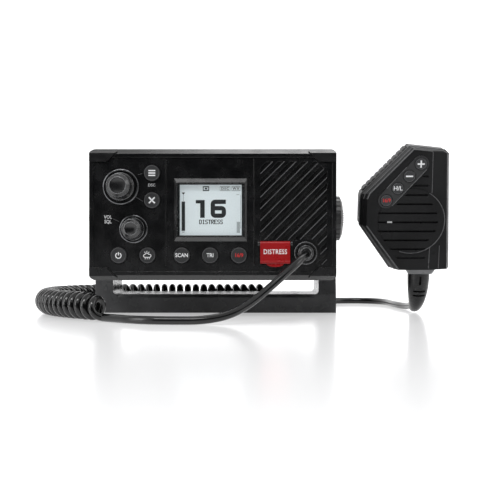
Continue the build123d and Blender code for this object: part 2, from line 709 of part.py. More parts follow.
with BuildPart() as rear_chassis:
    with BuildSketch(at_depth(chassis_start + flange_thick)):
        RectangleRounded(flange_w, flange_h, face_corner)
    extrude(amount=flange_thick)
    with BuildSketch(at_depth(chassis_end)):
        add(chassis_section.sketch)
    extrude(amount=chassis_end - chassis_start)
    # Cooling fins on the back and ribs along the top
    with BuildSketch(at_depth(chassis_end + fin_depth)):
        with Locations((0, (fin_top + fin_bottom) / 2)):
            with GridLocations(fin_pitch, 0, fin_count, 1):
                Rectangle(fin_thick, fin_top - fin_bottom)
    extrude(amount=fin_depth + 1)
    with BuildSketch(at_depth(chassis_end)):
        with Locations((0, chassis_h / 2)):
            with GridLocations(rib_pitch, 0, rib_count, 1):
                Rectangle(rib_thick, 2 * rib_height)
    extrude(amount=chassis_end - rib_start)
    # Hollow, open to the bezel
    with BuildSketch(at_depth(chassis_end - chassis_back)):
        add(chassis_hollow.sketch)
    extrude(amount=chassis_end - chassis_back - chassis_start, mode=Mode.SUBTRACT)
    # Bosses for the brass inserts, one on each side at the tilt axis
    for side in (1, -1):
        inner = side_boss.offset(side * (chassis_side - insert_length - 1))
        with BuildSketch(inner):
            Circle(insert_boss_r)
        extrude(amount=side * (insert_length + 1 - 0.5 * chassis_wall))
    with BuildSketch(side_boss):
        Circle(insert_r)
    extrude(amount=chassis_w, both=True, mode=Mode.SUBTRACT)
    # Standoffs for the main board
    with BuildSketch(Plane.XY.offset(chassis_floor - 0.5)):
        with Locations((0, board_middle)):
            with GridLocations(2 * standoff_x, 2 * standoff_y, 2, 2):
                Circle(3)
    extrude(amount=board_under - chassis_floor + 0.5)
    # Case screw holes and connector holes
    with BuildSketch(at_depth(chassis_start + flange_thick)):
        with GridLocations(2 * boss_x, 2 * boss_z, 2, 2):
            Circle(case_screw_r + 0.25)
    extrude(amount=flange_thick, mode=Mode.SUBTRACT)
    with BuildSketch(at_depth(chassis_end)):
        with Locations(antenna_at):
            Circle(antenna_r)
        with Locations(power_at):
            Circle(power_r)
        with Locations(data_at):
            Circle(data_r)
    extrude(amount=chassis_back, mode=Mode.SUBTRACT)
save(rear_chassis, "rear_chassis")

with BuildPart() as case_gasket:
    with BuildSketch(at_depth(chassis_start)):
        RectangleRounded(flange_w, flange_h, face_corner)
        Rectangle(chassis_w - 2 * chassis_wall, chassis_h - 2 * chassis_wall, mode=Mode.SUBTRACT)
        with GridLocations(2 * boss_x, 2 * boss_z, 2, 2):
            Circle(case_screw_r + 0.25, mode=Mode.SUBTRACT)
    extrude(amount=gasket_thick)
save(case_gasket, "case_gasket")

screw_seat = chassis_start + flange_thick
with BuildPart() as case_screws:
    with BuildSketch(at_depth(screw_seat)):
        with GridLocations(2 * boss_x, 2 * boss_z, 2, 2):
            Circle(case_screw_r)
    extrude(amount=case_screw_length)
    with BuildSketch(at_depth(screw_seat + screw_head)):
        with GridLocations(2 * boss_x, 2 * boss_z, 2, 2):
            Circle(screw_head_r)
            RegularPolygon(1.3, 6, mode=Mode.SUBTRACT)
    extrude(amount=screw_head)
    with BuildSketch(at_depth(screw_seat + 0.8)):
        with GridLocations(2 * boss_x, 2 * boss_z, 2, 2):
            Circle(screw_head_r - 0.5)
    extrude(amount=0.8)
save(case_screws, "case_screws")

with BuildPart() as thread_inserts:
    for side in (1, -1):
        with BuildSketch(side_boss.offset(side * chassis_side)):
            Circle(insert_r)
            Circle(stud_r + screw_play, mode=Mode.SUBTRACT)
        extrude(amount=-side * insert_length)
save(thread_inserts, "thread_inserts")

# ---------------------------------------------------------------- boards inside the chassis
with BuildPart() as main_board:
    with BuildSketch(Plane.XY.offset(board_under)):
        with Locations((0, board_middle)):
            Rectangle(main_board_w, main_board_end - main_board_start)
    extrude(amount=board_thick)
save(main_board, "main_board")

shield_floor = board_under + board_thick
with BuildPart() as radio_shield:
    with BuildSketch(Plane.XY.offset(shield_floor)):
        with Locations((0, board_middle)):
            Rectangle(shield_w, shield_l)
    extrude(amount=shield_h)
    offset(
        amount=-shield_wall,
        openings=radio_shield.faces().sort_by(Axis.Z)[0],
        kind=Kind.INTERSECTION,
    )
save(radio_shield, "radio_shield")

# ---------------------------------------------------------------- connectors on the back
profile, axis = turned_profile(*antenna_at)
rear = -chassis_end
with BuildPart() as antenna_socket:
    with BuildSketch(profile):
        with BuildLine():
            Polyline(
                (0, rear + chassis_back),
                (antenna_r, rear + chassis_back),
                (antenna_r, rear),
                (connector_flange_r, rear),
                (connector_flange_r, rear - connector_flange),
                (antenna_r, rear - connector_flange),
                (antenna_r, rear - connector_flange - antenna_length),
                (antenna_r - 1.6, rear - connector_flange - antenna_length),
                (antenna_r - 1.6, rear - connector_flange - 5),
                (2.4, rear - connector_flange - 5),
                (2.4, rear - connector_flange - antenna_length + 2),
                (1.6, rear - connector_flange - antenna_length + 2),
                (1.6, rear - connector_flange - 4),
                (0, rear - connector_flange - 4),
                close=True,
            )
        make_face()
    revolve(axis=axis)
save(antenna_socket, "antenna_socket")

profile, axis = turned_profile(*power_at)
with BuildPart() as power_gland:
    with BuildSketch(profile):
        with BuildLine():
            Polyline(
                (0, rear + chassis_back),
                (power_r, rear + chassis_back),
                (power_r, rear),
                (power_r + 2.5, rear),
                (power_r + 2.5, rear - 3.5),
                (power_r, rear - 4.5),
                (power_r - 1.2, rear - power_length),
                (power_bore, rear - power_length),
                (power_bore, rear - 1),
                (0, rear - 1),
                close=True,
            )
        make_face()
    revolve(axis=axis)
save(power_gland, "power_gland")

with BuildPart() as data_socket:
    with BuildSketch(at_depth(chassis_end)):
        with Locations(data_at):
            Circle(data_r)
    extrude(amount=chassis_back)
    with BuildSketch(at_depth(chassis_end + connector_flange)):
        with Locations(data_at):
            Circle(data_r + 2.0)
    extrude(amount=connector_flange)
    with BuildSketch(at_depth(chassis_end + connector_flange + data_length)):
        with Locations(data_at):
            Circle(data_r)
            Circle(data_r - data_wall, mode=Mode.SUBTRACT)
            with PolarLocations(2.6, 4):
                Circle(0.5)
            Circle(0.5)
    extrude(amount=data_length)
save(data_socket, "data_socket")

# ---------------------------------------------------------------- bracket
with BuildPart() as mounting_bracket:
    with BuildSketch(Plane.YZ):
        with BuildLine():
            Polyline((-bracket_d / 2, 0), (bracket_d / 2, 0))
            Polyline((bracket_d / 2, 0), (bracket_d / 2, foot_h), (leg_top_r, pivot_height))
            ThreePointArc(
                (leg_top_r, pivot_height),
                (0, pivot_height + leg_top_r),
                (-leg_top_r, pivot_height),
            )
            Polyline((-leg_top_r, pivot_height), (-bracket_d / 2, foot_h), (-bracket_d / 2, 0))
        make_face()
    extrude(amount=bracket_w / 2, both=True)
    # Room between the legs for the radio
    with BuildSketch(Plane.XZ):
        with Locations((0, foot_h)):
            Rectangle(2 * leg_inner, 2 * face_h, align=(Align.CENTER, Align.MIN))
    extrude(amount=bracket_d, both=True, mode=Mode.SUBTRACT)
    inner_corners = mounting_bracket.edges().filter_by(Axis.Y).filter_by_position(
        Axis.Z, foot_h - 0.1, foot_h + 0.1
    )
    fillet(inner_corners.filter_by(lambda e: abs(abs(e.center().X) - leg_inner) < 0.1), leg_fillet)
    # Bevel along the front edge of the foot
    front_edge = (-bracket_d / 2, foot_h)
    with BuildSketch(Plane.YZ):
        with Locations(front_edge):
            Rectangle(foot_bevel * 2**0.5, foot_bevel * 2**0.5, rotation=45)
    extrude(amount=leg_inner - leg_fillet, both=True, mode=Mode.SUBTRACT)
    # The foot is hollow underneath, with ribs and screw pillars
    with BuildSketch(Plane.XY):
        Rectangle(bracket_w - 2 * foot_wall, bracket_d - 2 * foot_wall)
        with GridLocations(bracket_screw_dx / 2, 0, 3, 1):
            Rectangle(2, bracket_d, mode=Mode.SUBTRACT)
        with GridLocations(bracket_screw_dx, bracket_screw_dy, 2, 2):
            Circle(bracket_boss_r, mode=Mode.SUBTRACT)
    extrude(amount=foot_h - foot_wall, mode=Mode.SUBTRACT)
    with BuildSketch(Plane.XY):
        with GridLocations(bracket_screw_dx, bracket_screw_dy, 2, 2):
            Circle(bracket_hole_r)
    extrude(amount=foot_h, mode=Mode.SUBTRACT)
    # Clamp screw holes
    with BuildSketch(side_boss):
        Circle(clamp_hole_r)
    extrude(amount=bracket_w, both=True, mode=Mode.SUBTRACT)
save(mounting_bracket, "mounting_bracket")

with BuildPart() as tilt_washers:
    for side in (1, -1):
        with BuildSketch(side_boss.offset(side * chassis_side)):
            Circle(washer_r)
            Circle(washer_hole_r, mode=Mode.SUBTRACT)
        extrude(amount=side * washer_thick)
save(tilt_washers, "tilt_washers")

# ---------------------------------------------------------------- clamp knobs and screws
clamp_start = bracket_w / 2 + clamp_gap
for side, hand in ((-1, "left"), (1, "right")):
    outer = side_boss.offset(side * clamp_start)
    turned = Plane(origin=(0, 0, pivot_height), x_dir=(0, 1, 0), z_dir=(0, 0, -side))
    with BuildPart() as clamp_knob:
        with BuildSketch(turned):
            with BuildLine():
                Polyline(
                    (stud_r, clamp_start),
                    (clamp_r, clamp_start),
                    (clamp_r, clamp_start + clamp_rim),
                    (clamp_tip_r, clamp_start + clamp_disc),
                    (0, clamp_start + clamp_disc),
                    (0, clamp_start),
                    (stud_r, clamp_start),
                )
            make_face()
        revolve(axis=pivot)
        with BuildSketch(outer):
            with PolarLocations(clamp_r + 0.3, clamp_flutes):
                Circle(clamp_flute_r)
        extrude(amount=side * clamp_rim, mode=Mode.SUBTRACT)
        # Ridged grip bar across the knob
        with BuildSketch(outer):
            SlotOverall(bar_l, bar_w)
        extrude(amount=side * clamp_thick)
        with BuildSketch(outer.offset(side * (clamp_thick - 0.6))):
            with GridLocations(0, bar_w / (bar_ridges + 1), 1, bar_ridges):
                Rectangle(bar_l, ridge_w)
        extrude(amount=side, mode=Mode.SUBTRACT)
        with BuildSketch(side_boss):
            Circle(stud_r)
        extrude(amount=side * (clamp_start + clamp_thick - clamp_cap), mode=Mode.SUBTRACT)
    save(clamp_knob, f"clamp_knob_{hand}")

    with BuildPart() as clamp_screw:
        with BuildSketch(side_boss.offset(side * (chassis_side - stud_reach))):
            Circle(stud_r)
        extrude(amount=side * (clamp_start + clamp_thick - clamp_cap - chassis_side + stud_reach))
    save(clamp_screw, f"clamp_screw_{hand}")

# ---------------------------------------------------------------- microphone shells
def mic_plane(w):
    """The plane at height w in front of the microphone's face."""
    return mic.offset(w)


def inset(points, amount):
    """Sketches a closed outline moved inwards by amount."""
    with BuildSketch(mode=Mode.PRIVATE) as shape:
        Polygon(*points, align=None)
        if amount:
            offset(amount=-amount, kind=Kind.INTERSECTION, mode=Mode.REPLACE)
    return shape.sketch


key_points = [
    tuple(a + (b - a) * i / 3 for a, b in zip(mic_key_first, mic_key_last)) for i in range(4)
]
key_middle = tuple((a + b) / 2 for a, b in zip(mic_key_first, mic_key_last))
key_run = ((mic_key_last[0] - mic_key_first[0]) ** 2 + (mic_key_last[1] - mic_key_first[1]) ** 2) ** 0.5
key_angle = degrees(
    atan2(mic_key_last[1] - mic_key_first[1], mic_key_last[0] - mic_key_first[0])
)
collar_plane = Plane(
    origin=mic.from_local_coords((collar_u, 0, collar_axis_w)), x_dir=mic.x_dir, z_dir=-mic.y_dir
)

with BuildSketch() as key_panel_shape:
    with Locations(Location((*key_middle, 0), (0, 0, key_angle))):
        SlotOverall(key_run + key_panel_w, key_panel_w)

with BuildSketch() as slot_field:
    with BuildLine():
        Polyline(*slot_area, close=True)
    make_face()
    with Locations((dome_u, dome_v)):
        Circle(dome_r - 4.5)
    with Locations(Location((*key_middle, 0), (0, 0, key_angle))):
        SlotOverall(key_run + key_panel_w + 3, key_panel_w + 3, mode=Mode.SUBTRACT)
    with BuildLine():
        Polyline(*slot_limit, close=True)
    make_face(mode=Mode.SUBTRACT)

with BuildSketch() as mic_slots:
    with Locations((0, slot_v + slot_pitch * (slot_count - 1) / 2)):
        with GridLocations(0, slot_pitch, 1, slot_count):
            Rectangle(200, slot_w)
    add(slot_field.sketch, mode=Mode.INTERSECT)

with BuildPart() as mic_front_shell:
    for points, w in ((mic_outline, seam_w), (mic_shoulder, shoulder_w), (mic_face, 0)):
        with BuildSketch(mic_plane(w)):
            add(inset(points, 0))
    loft(ruled=True)
    # Round speaker boss that stands over the falling right-hand side
    with BuildSketch(mic_plane(dome_base)):
        with Locations((dome_u, dome_v)):
            Circle(dome_r)
    extrude(amount=dome_top - dome_base)
    with BuildSketch(mic_plane(seam_w)):
        add(inset(mic_outline, mic_wall))
    with BuildSketch(mic_plane(shoulder_w - 1)):
        add(inset(mic_shoulder, mic_wall + 0.4))
    loft(ruled=True, mode=Mode.SUBTRACT)
    with BuildSketch(mic_plane(shoulder_w - 1)):
        add(inset(mic_face, mic_wall))
        with Locations((dome_u, dome_v)):
            Circle(dome_r - mic_wall)
    extrude(amount=-shoulder_w + 1 - mic_wall, mode=Mode.SUBTRACT)
    # Bosses that the board rests on
    with BuildSketch(mic_plane(mic_board_w)):
        with Locations(*mic_bosses):
            Circle(mic_boss_r)
    extrude(amount=-mic_board_w + shoulder_w - 0.5)
    with BuildSketch(mic_plane(mic_board_w)):
        with Locations(*mic_bosses):
            Circle(mic_screw_r + screw_play)
    extrude(amount=5.5, mode=Mode.SUBTRACT)
    # Slots, seat of the key panel and key holes
    with BuildSketch(mic_plane(-slot_depth)):
        add(mic_slots.sketch)
    extrude(amount=slot_depth + dome_top, mode=Mode.SUBTRACT)
    with BuildSketch(mic_plane(-key_panel_seat)):
        add(key_panel_shape.sketch)
    extrude(amount=key_panel_seat + dome_top, mode=Mode.SUBTRACT)
    with BuildSketch(mic_plane(-mic_key_tail)):
        with Locations(*key_points):
            Circle(mic_key_r + mic_key_gap)
    extrude(amount=mic_key_tail + dome_top, mode=Mode.SUBTRACT)
    with BuildSketch(collar_plane.offset(-2 * stem_in)):
        Circle(stem_r + 0.1)
    extrude(amount=3 * stem_in, mode=Mode.SUBTRACT)
save(mic_front_shell, "mic_front_shell")

diagonal_start, diagonal_end = Vector(*mic_outline[4], 0), Vector(*mic_outline[3], 0)
diagonal = (diagonal_end - diagonal_start).normalized()
outward = Vector(-diagonal.Y, diagonal.X, 0)
lever_centre = diagonal_start + (diagonal_end - diagonal_start) * 0.5
lever_plane = Plane(
    origin=mic.from_local_coords((lever_centre.X, lever_centre.Y, lever_middle_w)),
    x_dir=mic.x_dir * diagonal.X + mic.y_dir * diagonal.Y,
    z_dir=mic.x_dir * outward.X + mic.y_dir * outward.Y,
)

with BuildPart() as mic_rear_shell:
    for w, amount in ((back_w, back_inset), (back_edge_w, 0), (seam_w, 0)):
        with BuildSketch(mic_plane(w)):
            add(inset(mic_outline, amount))
    loft(ruled=True)
    inner = ((back_w + mic_wall, back_inset + mic_wall), (back_edge_w + 1, mic_wall), (seam_w, mic_wall))
    for w, amount in inner:
        with BuildSketch(mic_plane(w)):
            add(inset(mic_outline, amount))
    loft(ruled=True, mode=Mode.SUBTRACT)
    # Tubes for the screws
    with BuildSketch(mic_plane(back_w + 1)):
        with Locations(*mic_bosses):
            Circle(mic_boss_r)
    extrude(amount=mic_board_w - mic_board_thick - back_w - 1)
    with BuildSketch(mic_plane(back_w)):
        with Locations(*mic_bosses):
            Circle(mic_screw_r + screw_play)
    extrude(amount=-back_w, mode=Mode.SUBTRACT)
    with BuildSketch(mic_plane(back_w)):
        with Locations(*mic_bosses):
            Circle(mic_head_r + 0.1)
    extrude(amount=mic_head, mode=Mode.SUBTRACT)
    # Opening for the talk lever, and the hole for the cable collar
    with BuildSketch(lever_plane.offset(-lever_inside - 3)):
        Rectangle(lever_length + 2 * lever_gap, lever_w + 2 * lever_gap)
    extrude(amount=lever_inside + 3 + 5, mode=Mode.SUBTRACT)
    with BuildSketch(collar_plane.offset(-2 * stem_in)):
        Circle(stem_r + 0.1)
    extrude(amount=3 * stem_in, mode=Mode.SUBTRACT)
save(mic_rear_shell, "mic_rear_shell")

with BuildPart() as talk_lever:
    with BuildSketch(lever_plane.offset(-lever_inside)):
        Rectangle(lever_length, lever_w)
    extrude(amount=lever_inside + lever_proud)
    chamfer(talk_lever.edges().group_by(Axis((0, 0, 0), lever_plane.z_dir))[-1], 0.7)
    with BuildSketch(lever_plane.offset(lever_proud - lever_groove)):
        with GridLocations(lever_length / (lever_ridges + 1), 0, lever_ridges, 1):
            Rectangle(lever_groove_w, lever_w)
    extrude(amount=1, mode=Mode.SUBTRACT)
save(talk_lever, "talk_lever")

with BuildPart() as mic_key_panel:
    with BuildSketch(mic_plane(-key_panel_seat)):
        add(key_panel_shape.sketch)
        with Locations(*key_points):
            Circle(mic_key_r + mic_key_gap, mode=Mode.SUBTRACT)
    extrude(amount=key_panel_seat + key_panel_proud)
save(mic_key_panel, "mic_key_panel")

for name, point in zip(mic_key_names, key_points):
    with BuildPart() as mic_key:
        with BuildSketch(mic_plane(-mic_key_tail)):
            with Locations(point):
                Circle(mic_key_r)
        extrude(amount=mic_key_tail + mic_key_proud)
        fillet(mic_key.edges().group_by(Axis((0, 0, 0), mic.z_dir))[-1], 0.4)
    save(mic_key, name)

with BuildPart() as mic_circuit:
    with BuildSketch(mic_plane(mic_board_w - mic_board_thick)):
        Polygon(*mic_board, align=None)
        with Locations(*mic_bosses):
            Circle(mic_screw_r + 0.2, mode=Mode.SUBTRACT)
    extrude(amount=mic_board_thick)
    with BuildSketch(mic_plane(mic_board_w)):
        with Locations(*key_points):
            Rectangle(4.5, 4.5)
    extrude(amount=mic_switch)
save(mic_circuit, "mic_board")

with BuildPart() as mic_speaker:
    with BuildSketch(mic_plane(-mic_wall - mic_speaker_depth)):
        with Locations((dome_u, dome_v)):
            Circle(mic_speaker_r * 0.6)
    extrude(amount=mic_speaker_depth)
    with BuildSketch(mic_plane(-mic_wall - 2)):
        with Locations((dome_u, dome_v)):
            Circle(mic_speaker_r)
    extrude(amount=2)
save(mic_speaker, "mic_speaker")

with BuildPart() as mic_screws:
    with BuildSketch(mic_plane(back_w + mic_head)):
        with Locations(*mic_bosses):
            Circle(mic_screw_r)
    extrude(amount=16)
    with BuildSketch(mic_plane(back_w + 0.4)):
        with Locations(*mic_bosses):
            Circle(mic_head_r)
    extrude(amount=mic_head - 0.4)
save(mic_screws, "mic_screws")

with BuildPart() as hanger_stud:
    with BuildSketch(mic_plane(back_w)):
        with Locations((stud_u, stud_v)):
            Circle(stud_neck_r)
    extrude(amount=-stud_neck)
    with BuildSketch(mic_plane(back_w - stud_neck)):
        with Locations((stud_u, stud_v)):
            Circle(stud_head_r)
    extrude(amount=-stud_head)
    fillet(hanger_stud.edges().group_by(Axis((0, 0, 0), -mic.z_dir))[-1], 1.0)
save(hanger_stud, "hanger_stud")

with BuildPart() as mic_collar:
    with BuildSketch(collar_plane):
        RectangleRounded(*collar_top, 3)
    with BuildSketch(collar_plane.offset(collar_drop)):
        RectangleRounded(*collar_bottom, 3)
    loft()
    with BuildSketch(collar_plane.offset(-stem_in)):
        Circle(stem_r)
    extrude(amount=stem_in)
save(mic_collar, "mic_collar")

with BuildPart() as mic_boot:
    for u, v, w, turn, radius in boot:
        direction = mic.y_dir * -cos(radians(turn)) + mic.z_dir * -sin(radians(turn))
        section = Plane(origin=mic.from_local_coords((u, v, w)), x_dir=mic.x_dir, z_dir=direction)
        with BuildSketch(section):
            Circle(radius)
    loft()
    for v, width, height, floor_w in boot_slots:
        with BuildSketch(mic_plane(floor_w)):
            with Locations((collar_u, v)):
                Rectangle(width, height)
        extrude(amount=boot[0][4], mode=Mode.SUBTRACT)
save(mic_boot, "mic_boot")
boot_end = mic.from_local_coords(boot[-1][:3])

# ---------------------------------------------------------------- cord
def rounded_path(points):
    """The corners of a path and the radii of the arcs that round them."""
    corners = [Vector(*p) for p in points]
    runs = [b - a for a, b in zip(corners, corners[1:])]
    radii = [
        0.45 * min(a.length, b.length) / tan(radians(a.get_angle(b)) / 2)
        for a, b in zip(runs, runs[1:])
    ]
    return corners, radii


def tube(points, diameter, name):
    """Sweeps a round section along a rounded path."""
    corners, radii = rounded_path(points)
    with BuildPart() as cord:
        with BuildLine() as path:
            FilletPolyline(*corners, radius=radii)
        with BuildSketch(Plane(origin=corners[0], z_dir=corners[1] - corners[0])):
            Circle(diameter / 2)
        sweep(path=path.wires()[0])
    length = path.wires()[0].length
    section = pi * diameter**2 / 4
    print(name, "radii", [round(r, 1) for r in radii], "length", round(length, 1),
          "volume ratio", round(cord.part.volume / (section * length), 4))
    save(cord, name)


tube(front_route, cord_d, "cord_front_lead")
tube([(x, y, coil_z) for x, y in coil_route], coil_d, "curly_cord")
lead_in = boot_end + Vector(0, boot_lead, 0)
tube(rear_route + [tuple(lead_in), tuple(boot_end)], cord_d, "cord_rear_lead")
print("boot end", tuple(round(c, 2) for c in boot_end))
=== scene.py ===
"""The looks of a fixed-mount marine VHF radio with its fist microphone and curly cord."""

import math

import bpy
from mathutils import Matrix, Vector


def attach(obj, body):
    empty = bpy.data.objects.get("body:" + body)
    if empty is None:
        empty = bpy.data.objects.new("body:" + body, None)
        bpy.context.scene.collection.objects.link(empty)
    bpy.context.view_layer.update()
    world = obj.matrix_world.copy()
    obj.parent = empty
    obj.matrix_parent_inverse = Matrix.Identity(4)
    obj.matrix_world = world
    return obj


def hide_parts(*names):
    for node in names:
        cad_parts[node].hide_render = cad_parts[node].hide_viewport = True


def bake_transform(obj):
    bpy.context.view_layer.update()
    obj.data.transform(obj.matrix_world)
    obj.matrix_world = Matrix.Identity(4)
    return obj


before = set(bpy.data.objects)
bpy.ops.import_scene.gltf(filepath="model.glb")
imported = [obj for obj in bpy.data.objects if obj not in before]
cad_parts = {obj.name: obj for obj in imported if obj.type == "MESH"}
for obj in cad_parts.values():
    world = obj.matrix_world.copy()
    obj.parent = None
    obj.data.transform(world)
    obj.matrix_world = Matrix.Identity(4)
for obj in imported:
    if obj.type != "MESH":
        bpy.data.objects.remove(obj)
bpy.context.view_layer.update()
scene = bpy.context.scene

MM = 0.001

# ---------------------------------------------------------------- places, in millimetres
FACE_Y, PIVOT_Z = -74.0, 67.0  # plane of the radio's face and height of its middle
MIC_ORIGIN, MIC_PITCH = (126.0, -51.0, 30.0), 14.0  # lower edge of the microphone's face
CORD_D = 5.0
COIL_D, COIL_Z, COIL_PITCH = 18.0, 9.2, 6.2  # outer diameter, height of the middle, pitch
BOOT_END = (139.9, -16.72, 4.12)  # where the cord enters the microphone's boot

FRONT_ROUTE = [
    (60.1, -80.5, 42.0), (60.1, -88.5, 42.0), (58.2, -97.0, 40.4), (53.6, -103.6, 36.4),
    (47.0, -108.0, 30.6), (36.5, -113.0, 21.6), (25.0, -119.0, 12.2), (12.5, -126.0, 5.4),
    (-3.0, -131.0, 2.7), (-20.0, -131.0, 2.6), (-36.0, -128.6, 2.6), (-48.0, -122.0, 2.6),
    (-56.3, -114.2, 2.6), (-66.0, -105.5, 2.6),
]
COIL_ROUTE = [
    (-66.0, -105.5), (-80.0, -93.0), (-94.0, -78.0), (-106.0, -61.5), (-113.5, -44.0),
    (-117.6, -22.0), (-115.3, -0.1), (-105.7, 19.7), (-89.8, 34.9), (-69.7, 43.9),
    (-45.7, 46.4), (-14.0, 41.2), (14.0, 42.5), (38.0, 42.5),
]
REAR_ROUTE = [
    (38.0, 42.5, 2.6), (49.0, 42.5, 2.6), (60.0, 46.5, 2.6), (70.0, 55.5, 2.6),
    (79.0, 67.0, 2.6), (89.0, 77.5, 2.6), (101.0, 84.0, 2.6), (113.0, 84.2, 2.6),
    (123.5, 79.0, 2.6), (130.5, 69.5, 2.6), (133.3, 57.5, 2.6), (134.0, 42.0, 2.6),
    (135.6, 25.0, 2.6), (138.8, 9.0, 2.6), (139.9, -6.72, 4.12), BOOT_END,
]

KEY_ROW_Z = -26.5
KEYS = {  # node to (x, z) of its middle from the middle of the face
    "menu_key": (-39.4, 26.8),
    "cancel_key": (-39.4, 9.2),
    "power_key": (-61.0, KEY_ROW_Z),
    "weather_key": (-42.3, KEY_ROW_Z),
    "scan_key": (-20.1, KEY_ROW_Z),
    "watch_key": (-1.7, KEY_ROW_Z),
    "priority_key": (16.9, KEY_ROW_Z),
}
KEY_PROUD, KEY_RIM_R = 0.9, 4.75  # height above the face, radius of the painted highlight round its top edge
MIC_KEYS = {  # node to (u, v) on the microphone's face
    "mic_priority_key": (-12.0, 48.2),
    "mic_level_key": (-4.73, 56.3),
    "mic_minus_key": (2.53, 64.4),
    "mic_plus_key": (9.8, 72.5),
}
MIC_KEY_PROUD, MIC_KEY_RIM_R = 1.1, 3.5
RIM_SINK = 0.05  # the beads of painted highlight round the keys are sunk this far into them
INK_LIFT = 0.03  # printed marks lie this far above their surface
PICTURE = (-1.4, 2.95)  # middle of the display
PICTURE_DEPTH = 1.8  # its panel lies this far behind the face
MASK_LIFT, FIGURE_LIFT = 0.02, 0.04  # height of the display's border and figures above the panel
COVER = (40.4, -24.3)  # middle of the word on the distress cover
COVER_PROUD = 1.8
KNOB_RINGS = {  # (x, z) and outer radius of the raised ring round each knob
    "channel": (-59.6, 17.9, 11.6),
    "volume": (-51.3, -9.5, 9.15),
}
RING_SECTION = [  # outline of that ring: distance from the outer radius, height
    (-1.55, 0.0), (-1.5, 0.7), (-1.25, 1.0), (-0.75, 1.12), (-0.2, 0.95), (0.1, 0.6), (0.15, 0.0),
]
KNOB_RIM_HIGHLIGHTS = {  # radius and height of each knob's edges, where beads of painted highlight lie
    "channel": [(5.3, 15.35), (7.25, 13.6), (8.75, 3.45)],
    "volume": [(4.1, 15.35), (5.85, 13.6), (7.05, 3.45)],
}
# Edges of the microphone's front shell as (u, v), from the right over the top to the left
MIC_FACE_EDGE = [(17.4, 80.6), (16.0, 81.0), (5.0, 82.0), (-23.0, 52.6), (-24.5, 49.0)]
MIC_FACE_LOWER = [(-24.5, 31.0), (-1.8, 0.6)]
MIC_SEAM = [(30.0, 77.2), (27.0, 80.2), (3.5, 82.8), (-27.5, 51.0), (-28.2, 48.0), (-28.2, 30.0),
            (-7.0, 0.0)]
MIC_SHOULDER = [(25.0, 80.2), (4.4, 82.5), (-25.3, 51.8), (-26.4, 48.6)]
MIC_SHOULDER_DEPTH, MIC_SEAM_DEPTH = 4.0, 10.0  # depths behind the microphone's face
MIC_DOME = (5.3, 34.2, 22.0, 0.7)  # middle, radius and height of the dome over its speaker
# Outline of the speaker grille on the face, and its diagonal grooves
GRILLE = [(30.7, 34.4), (67.5, 34.4), (74.0, 27.9), (74.0, -32.6), (67.0, -32.6), (67.0, -16.7),
          (30.7, -16.7)]
GROOVE_ROWS, GROOVE_PITCH, GROOVE_W, GROOVE_X = 24, 5.36, 2.5, 51.5
GROOVE_STEP, GROOVE_REACH = 0.25, 50.0  # how finely and how far out a groove's ends are sought
# radius, offset from the groove and shortest length of the painted highlight beads along the
# grooves
HIGHLIGHT_R, HIGHLIGHT_OFFSET, SHORTEST_HIGHLIGHT = 0.3, 0.35, 2.0
GLAND, GLAND_CLEAR = (60.1, -25.0), 9.5  # middle of the cord gland, free radius round it
GLAND_HIGHLIGHTS = [  # radius and height of each rim, and how thick its bead of painted highlight is from the middle
    (7.0, 1.75, 0.4), (4.75, 3.7, 0.3), (3.35, 5.2, 0.25),
]
DOTS = {  # rows of a small dot-matrix letter, five columns wide
    "D": (30, 17, 17, 17, 17, 17, 30),
    "E": (31, 16, 16, 30, 16, 16, 31),
    "I": (14, 4, 4, 4, 4, 4, 14),
    "R": (30, 17, 17, 30, 20, 18, 17),
    "S": (15, 16, 16, 14, 1, 1, 30),
    "T": (31, 4, 4, 4, 4, 4, 4),
}

# ---------------------------------------------------------------- studio, in metres
CAMERA_AT, LENS_MM, SENSOR_MM = (0.0241, -0.674, 0.044), 66.7, 36.0
FLOOR_GLOW = 0.75  # strength that the camera and mirrors see on the pale floor
ROOM_LIGHT, WHITE = 0.16, 1.0  # the world's strength as a light, and as what is seen
LAMPS = [  # name, place, what it faces, size, power
    ("top_box", (0.26, 0.36, 1.15), (0.0, -0.07, 0.11), (0.8, 0.34), 3.8),
    ("front_box", (-0.25, -0.95, 1.15), (0.0, -0.05, 0.06), (0.9, 0.24), 8.5),
    ("left_box", (-1.25, -0.75, 0.60), (0.0, 0.0, 0.05), (0.6, 0.9), 8.0),
    ("right_box", (1.35, -0.45, 0.75), (0.05, 0.0, 0.05), (0.5, 0.8), 3.0),
]


# ---------------------------------------------------------------- materials
GRAIN_LOW, GRAIN_HIGH = 0.3, 0.7  # most values of the noise lie between these


def shader_nodes(name):
    """A new material, with its tree and its shader."""
    mat = bpy.data.materials.new(name)
    mat.use_nodes = True
    tree = mat.node_tree
    return mat, tree, tree.nodes["Principled BSDF"]


def node(tree, kind, **settings):
    """Adds a node. Settings name its properties, or its inputs when they start with in_."""
    made = tree.nodes.new(kind)
    for key, value in settings.items():
        if key.startswith("in_"):
            made.inputs[key[3:].replace("_", " ")].default_value = value
        else:
            setattr(made, key, value)
    return made


def grain(tree, scale, detail):
    """Noise that stays with the piece, in cycles per metre."""
    place = node(tree, "ShaderNodeTexCoord")
    noise = node(tree, "ShaderNodeTexNoise", in_Scale=scale, in_Detail=detail)
    tree.links.new(place.outputs["Object"], noise.inputs["Vector"])
    return noise.outputs["Fac"]


def ramp(tree, value, low, high):
    """Maps the noise onto a colour that runs from low to high."""
    made = node(tree, "ShaderNodeValToRGB")
    first, last = made.color_ramp.elements
    first.position, first.color = GRAIN_LOW, (*low, 1)
    last.position, last.color = GRAIN_HIGH, (*high, 1)
    tree.links.new(value, made.inputs["Fac"])
    return made.outputs["Color"]


def spread(tree, value, low, high):
    """Maps the noise onto a number from low to high."""
    made = node(tree, "ShaderNodeMapRange", in_From_Min=GRAIN_LOW, in_From_Max=GRAIN_HIGH,
                in_To_Min=low, in_To_Max=high)
    tree.links.new(value, made.inputs["Value"])
    return made.outputs["Result"]


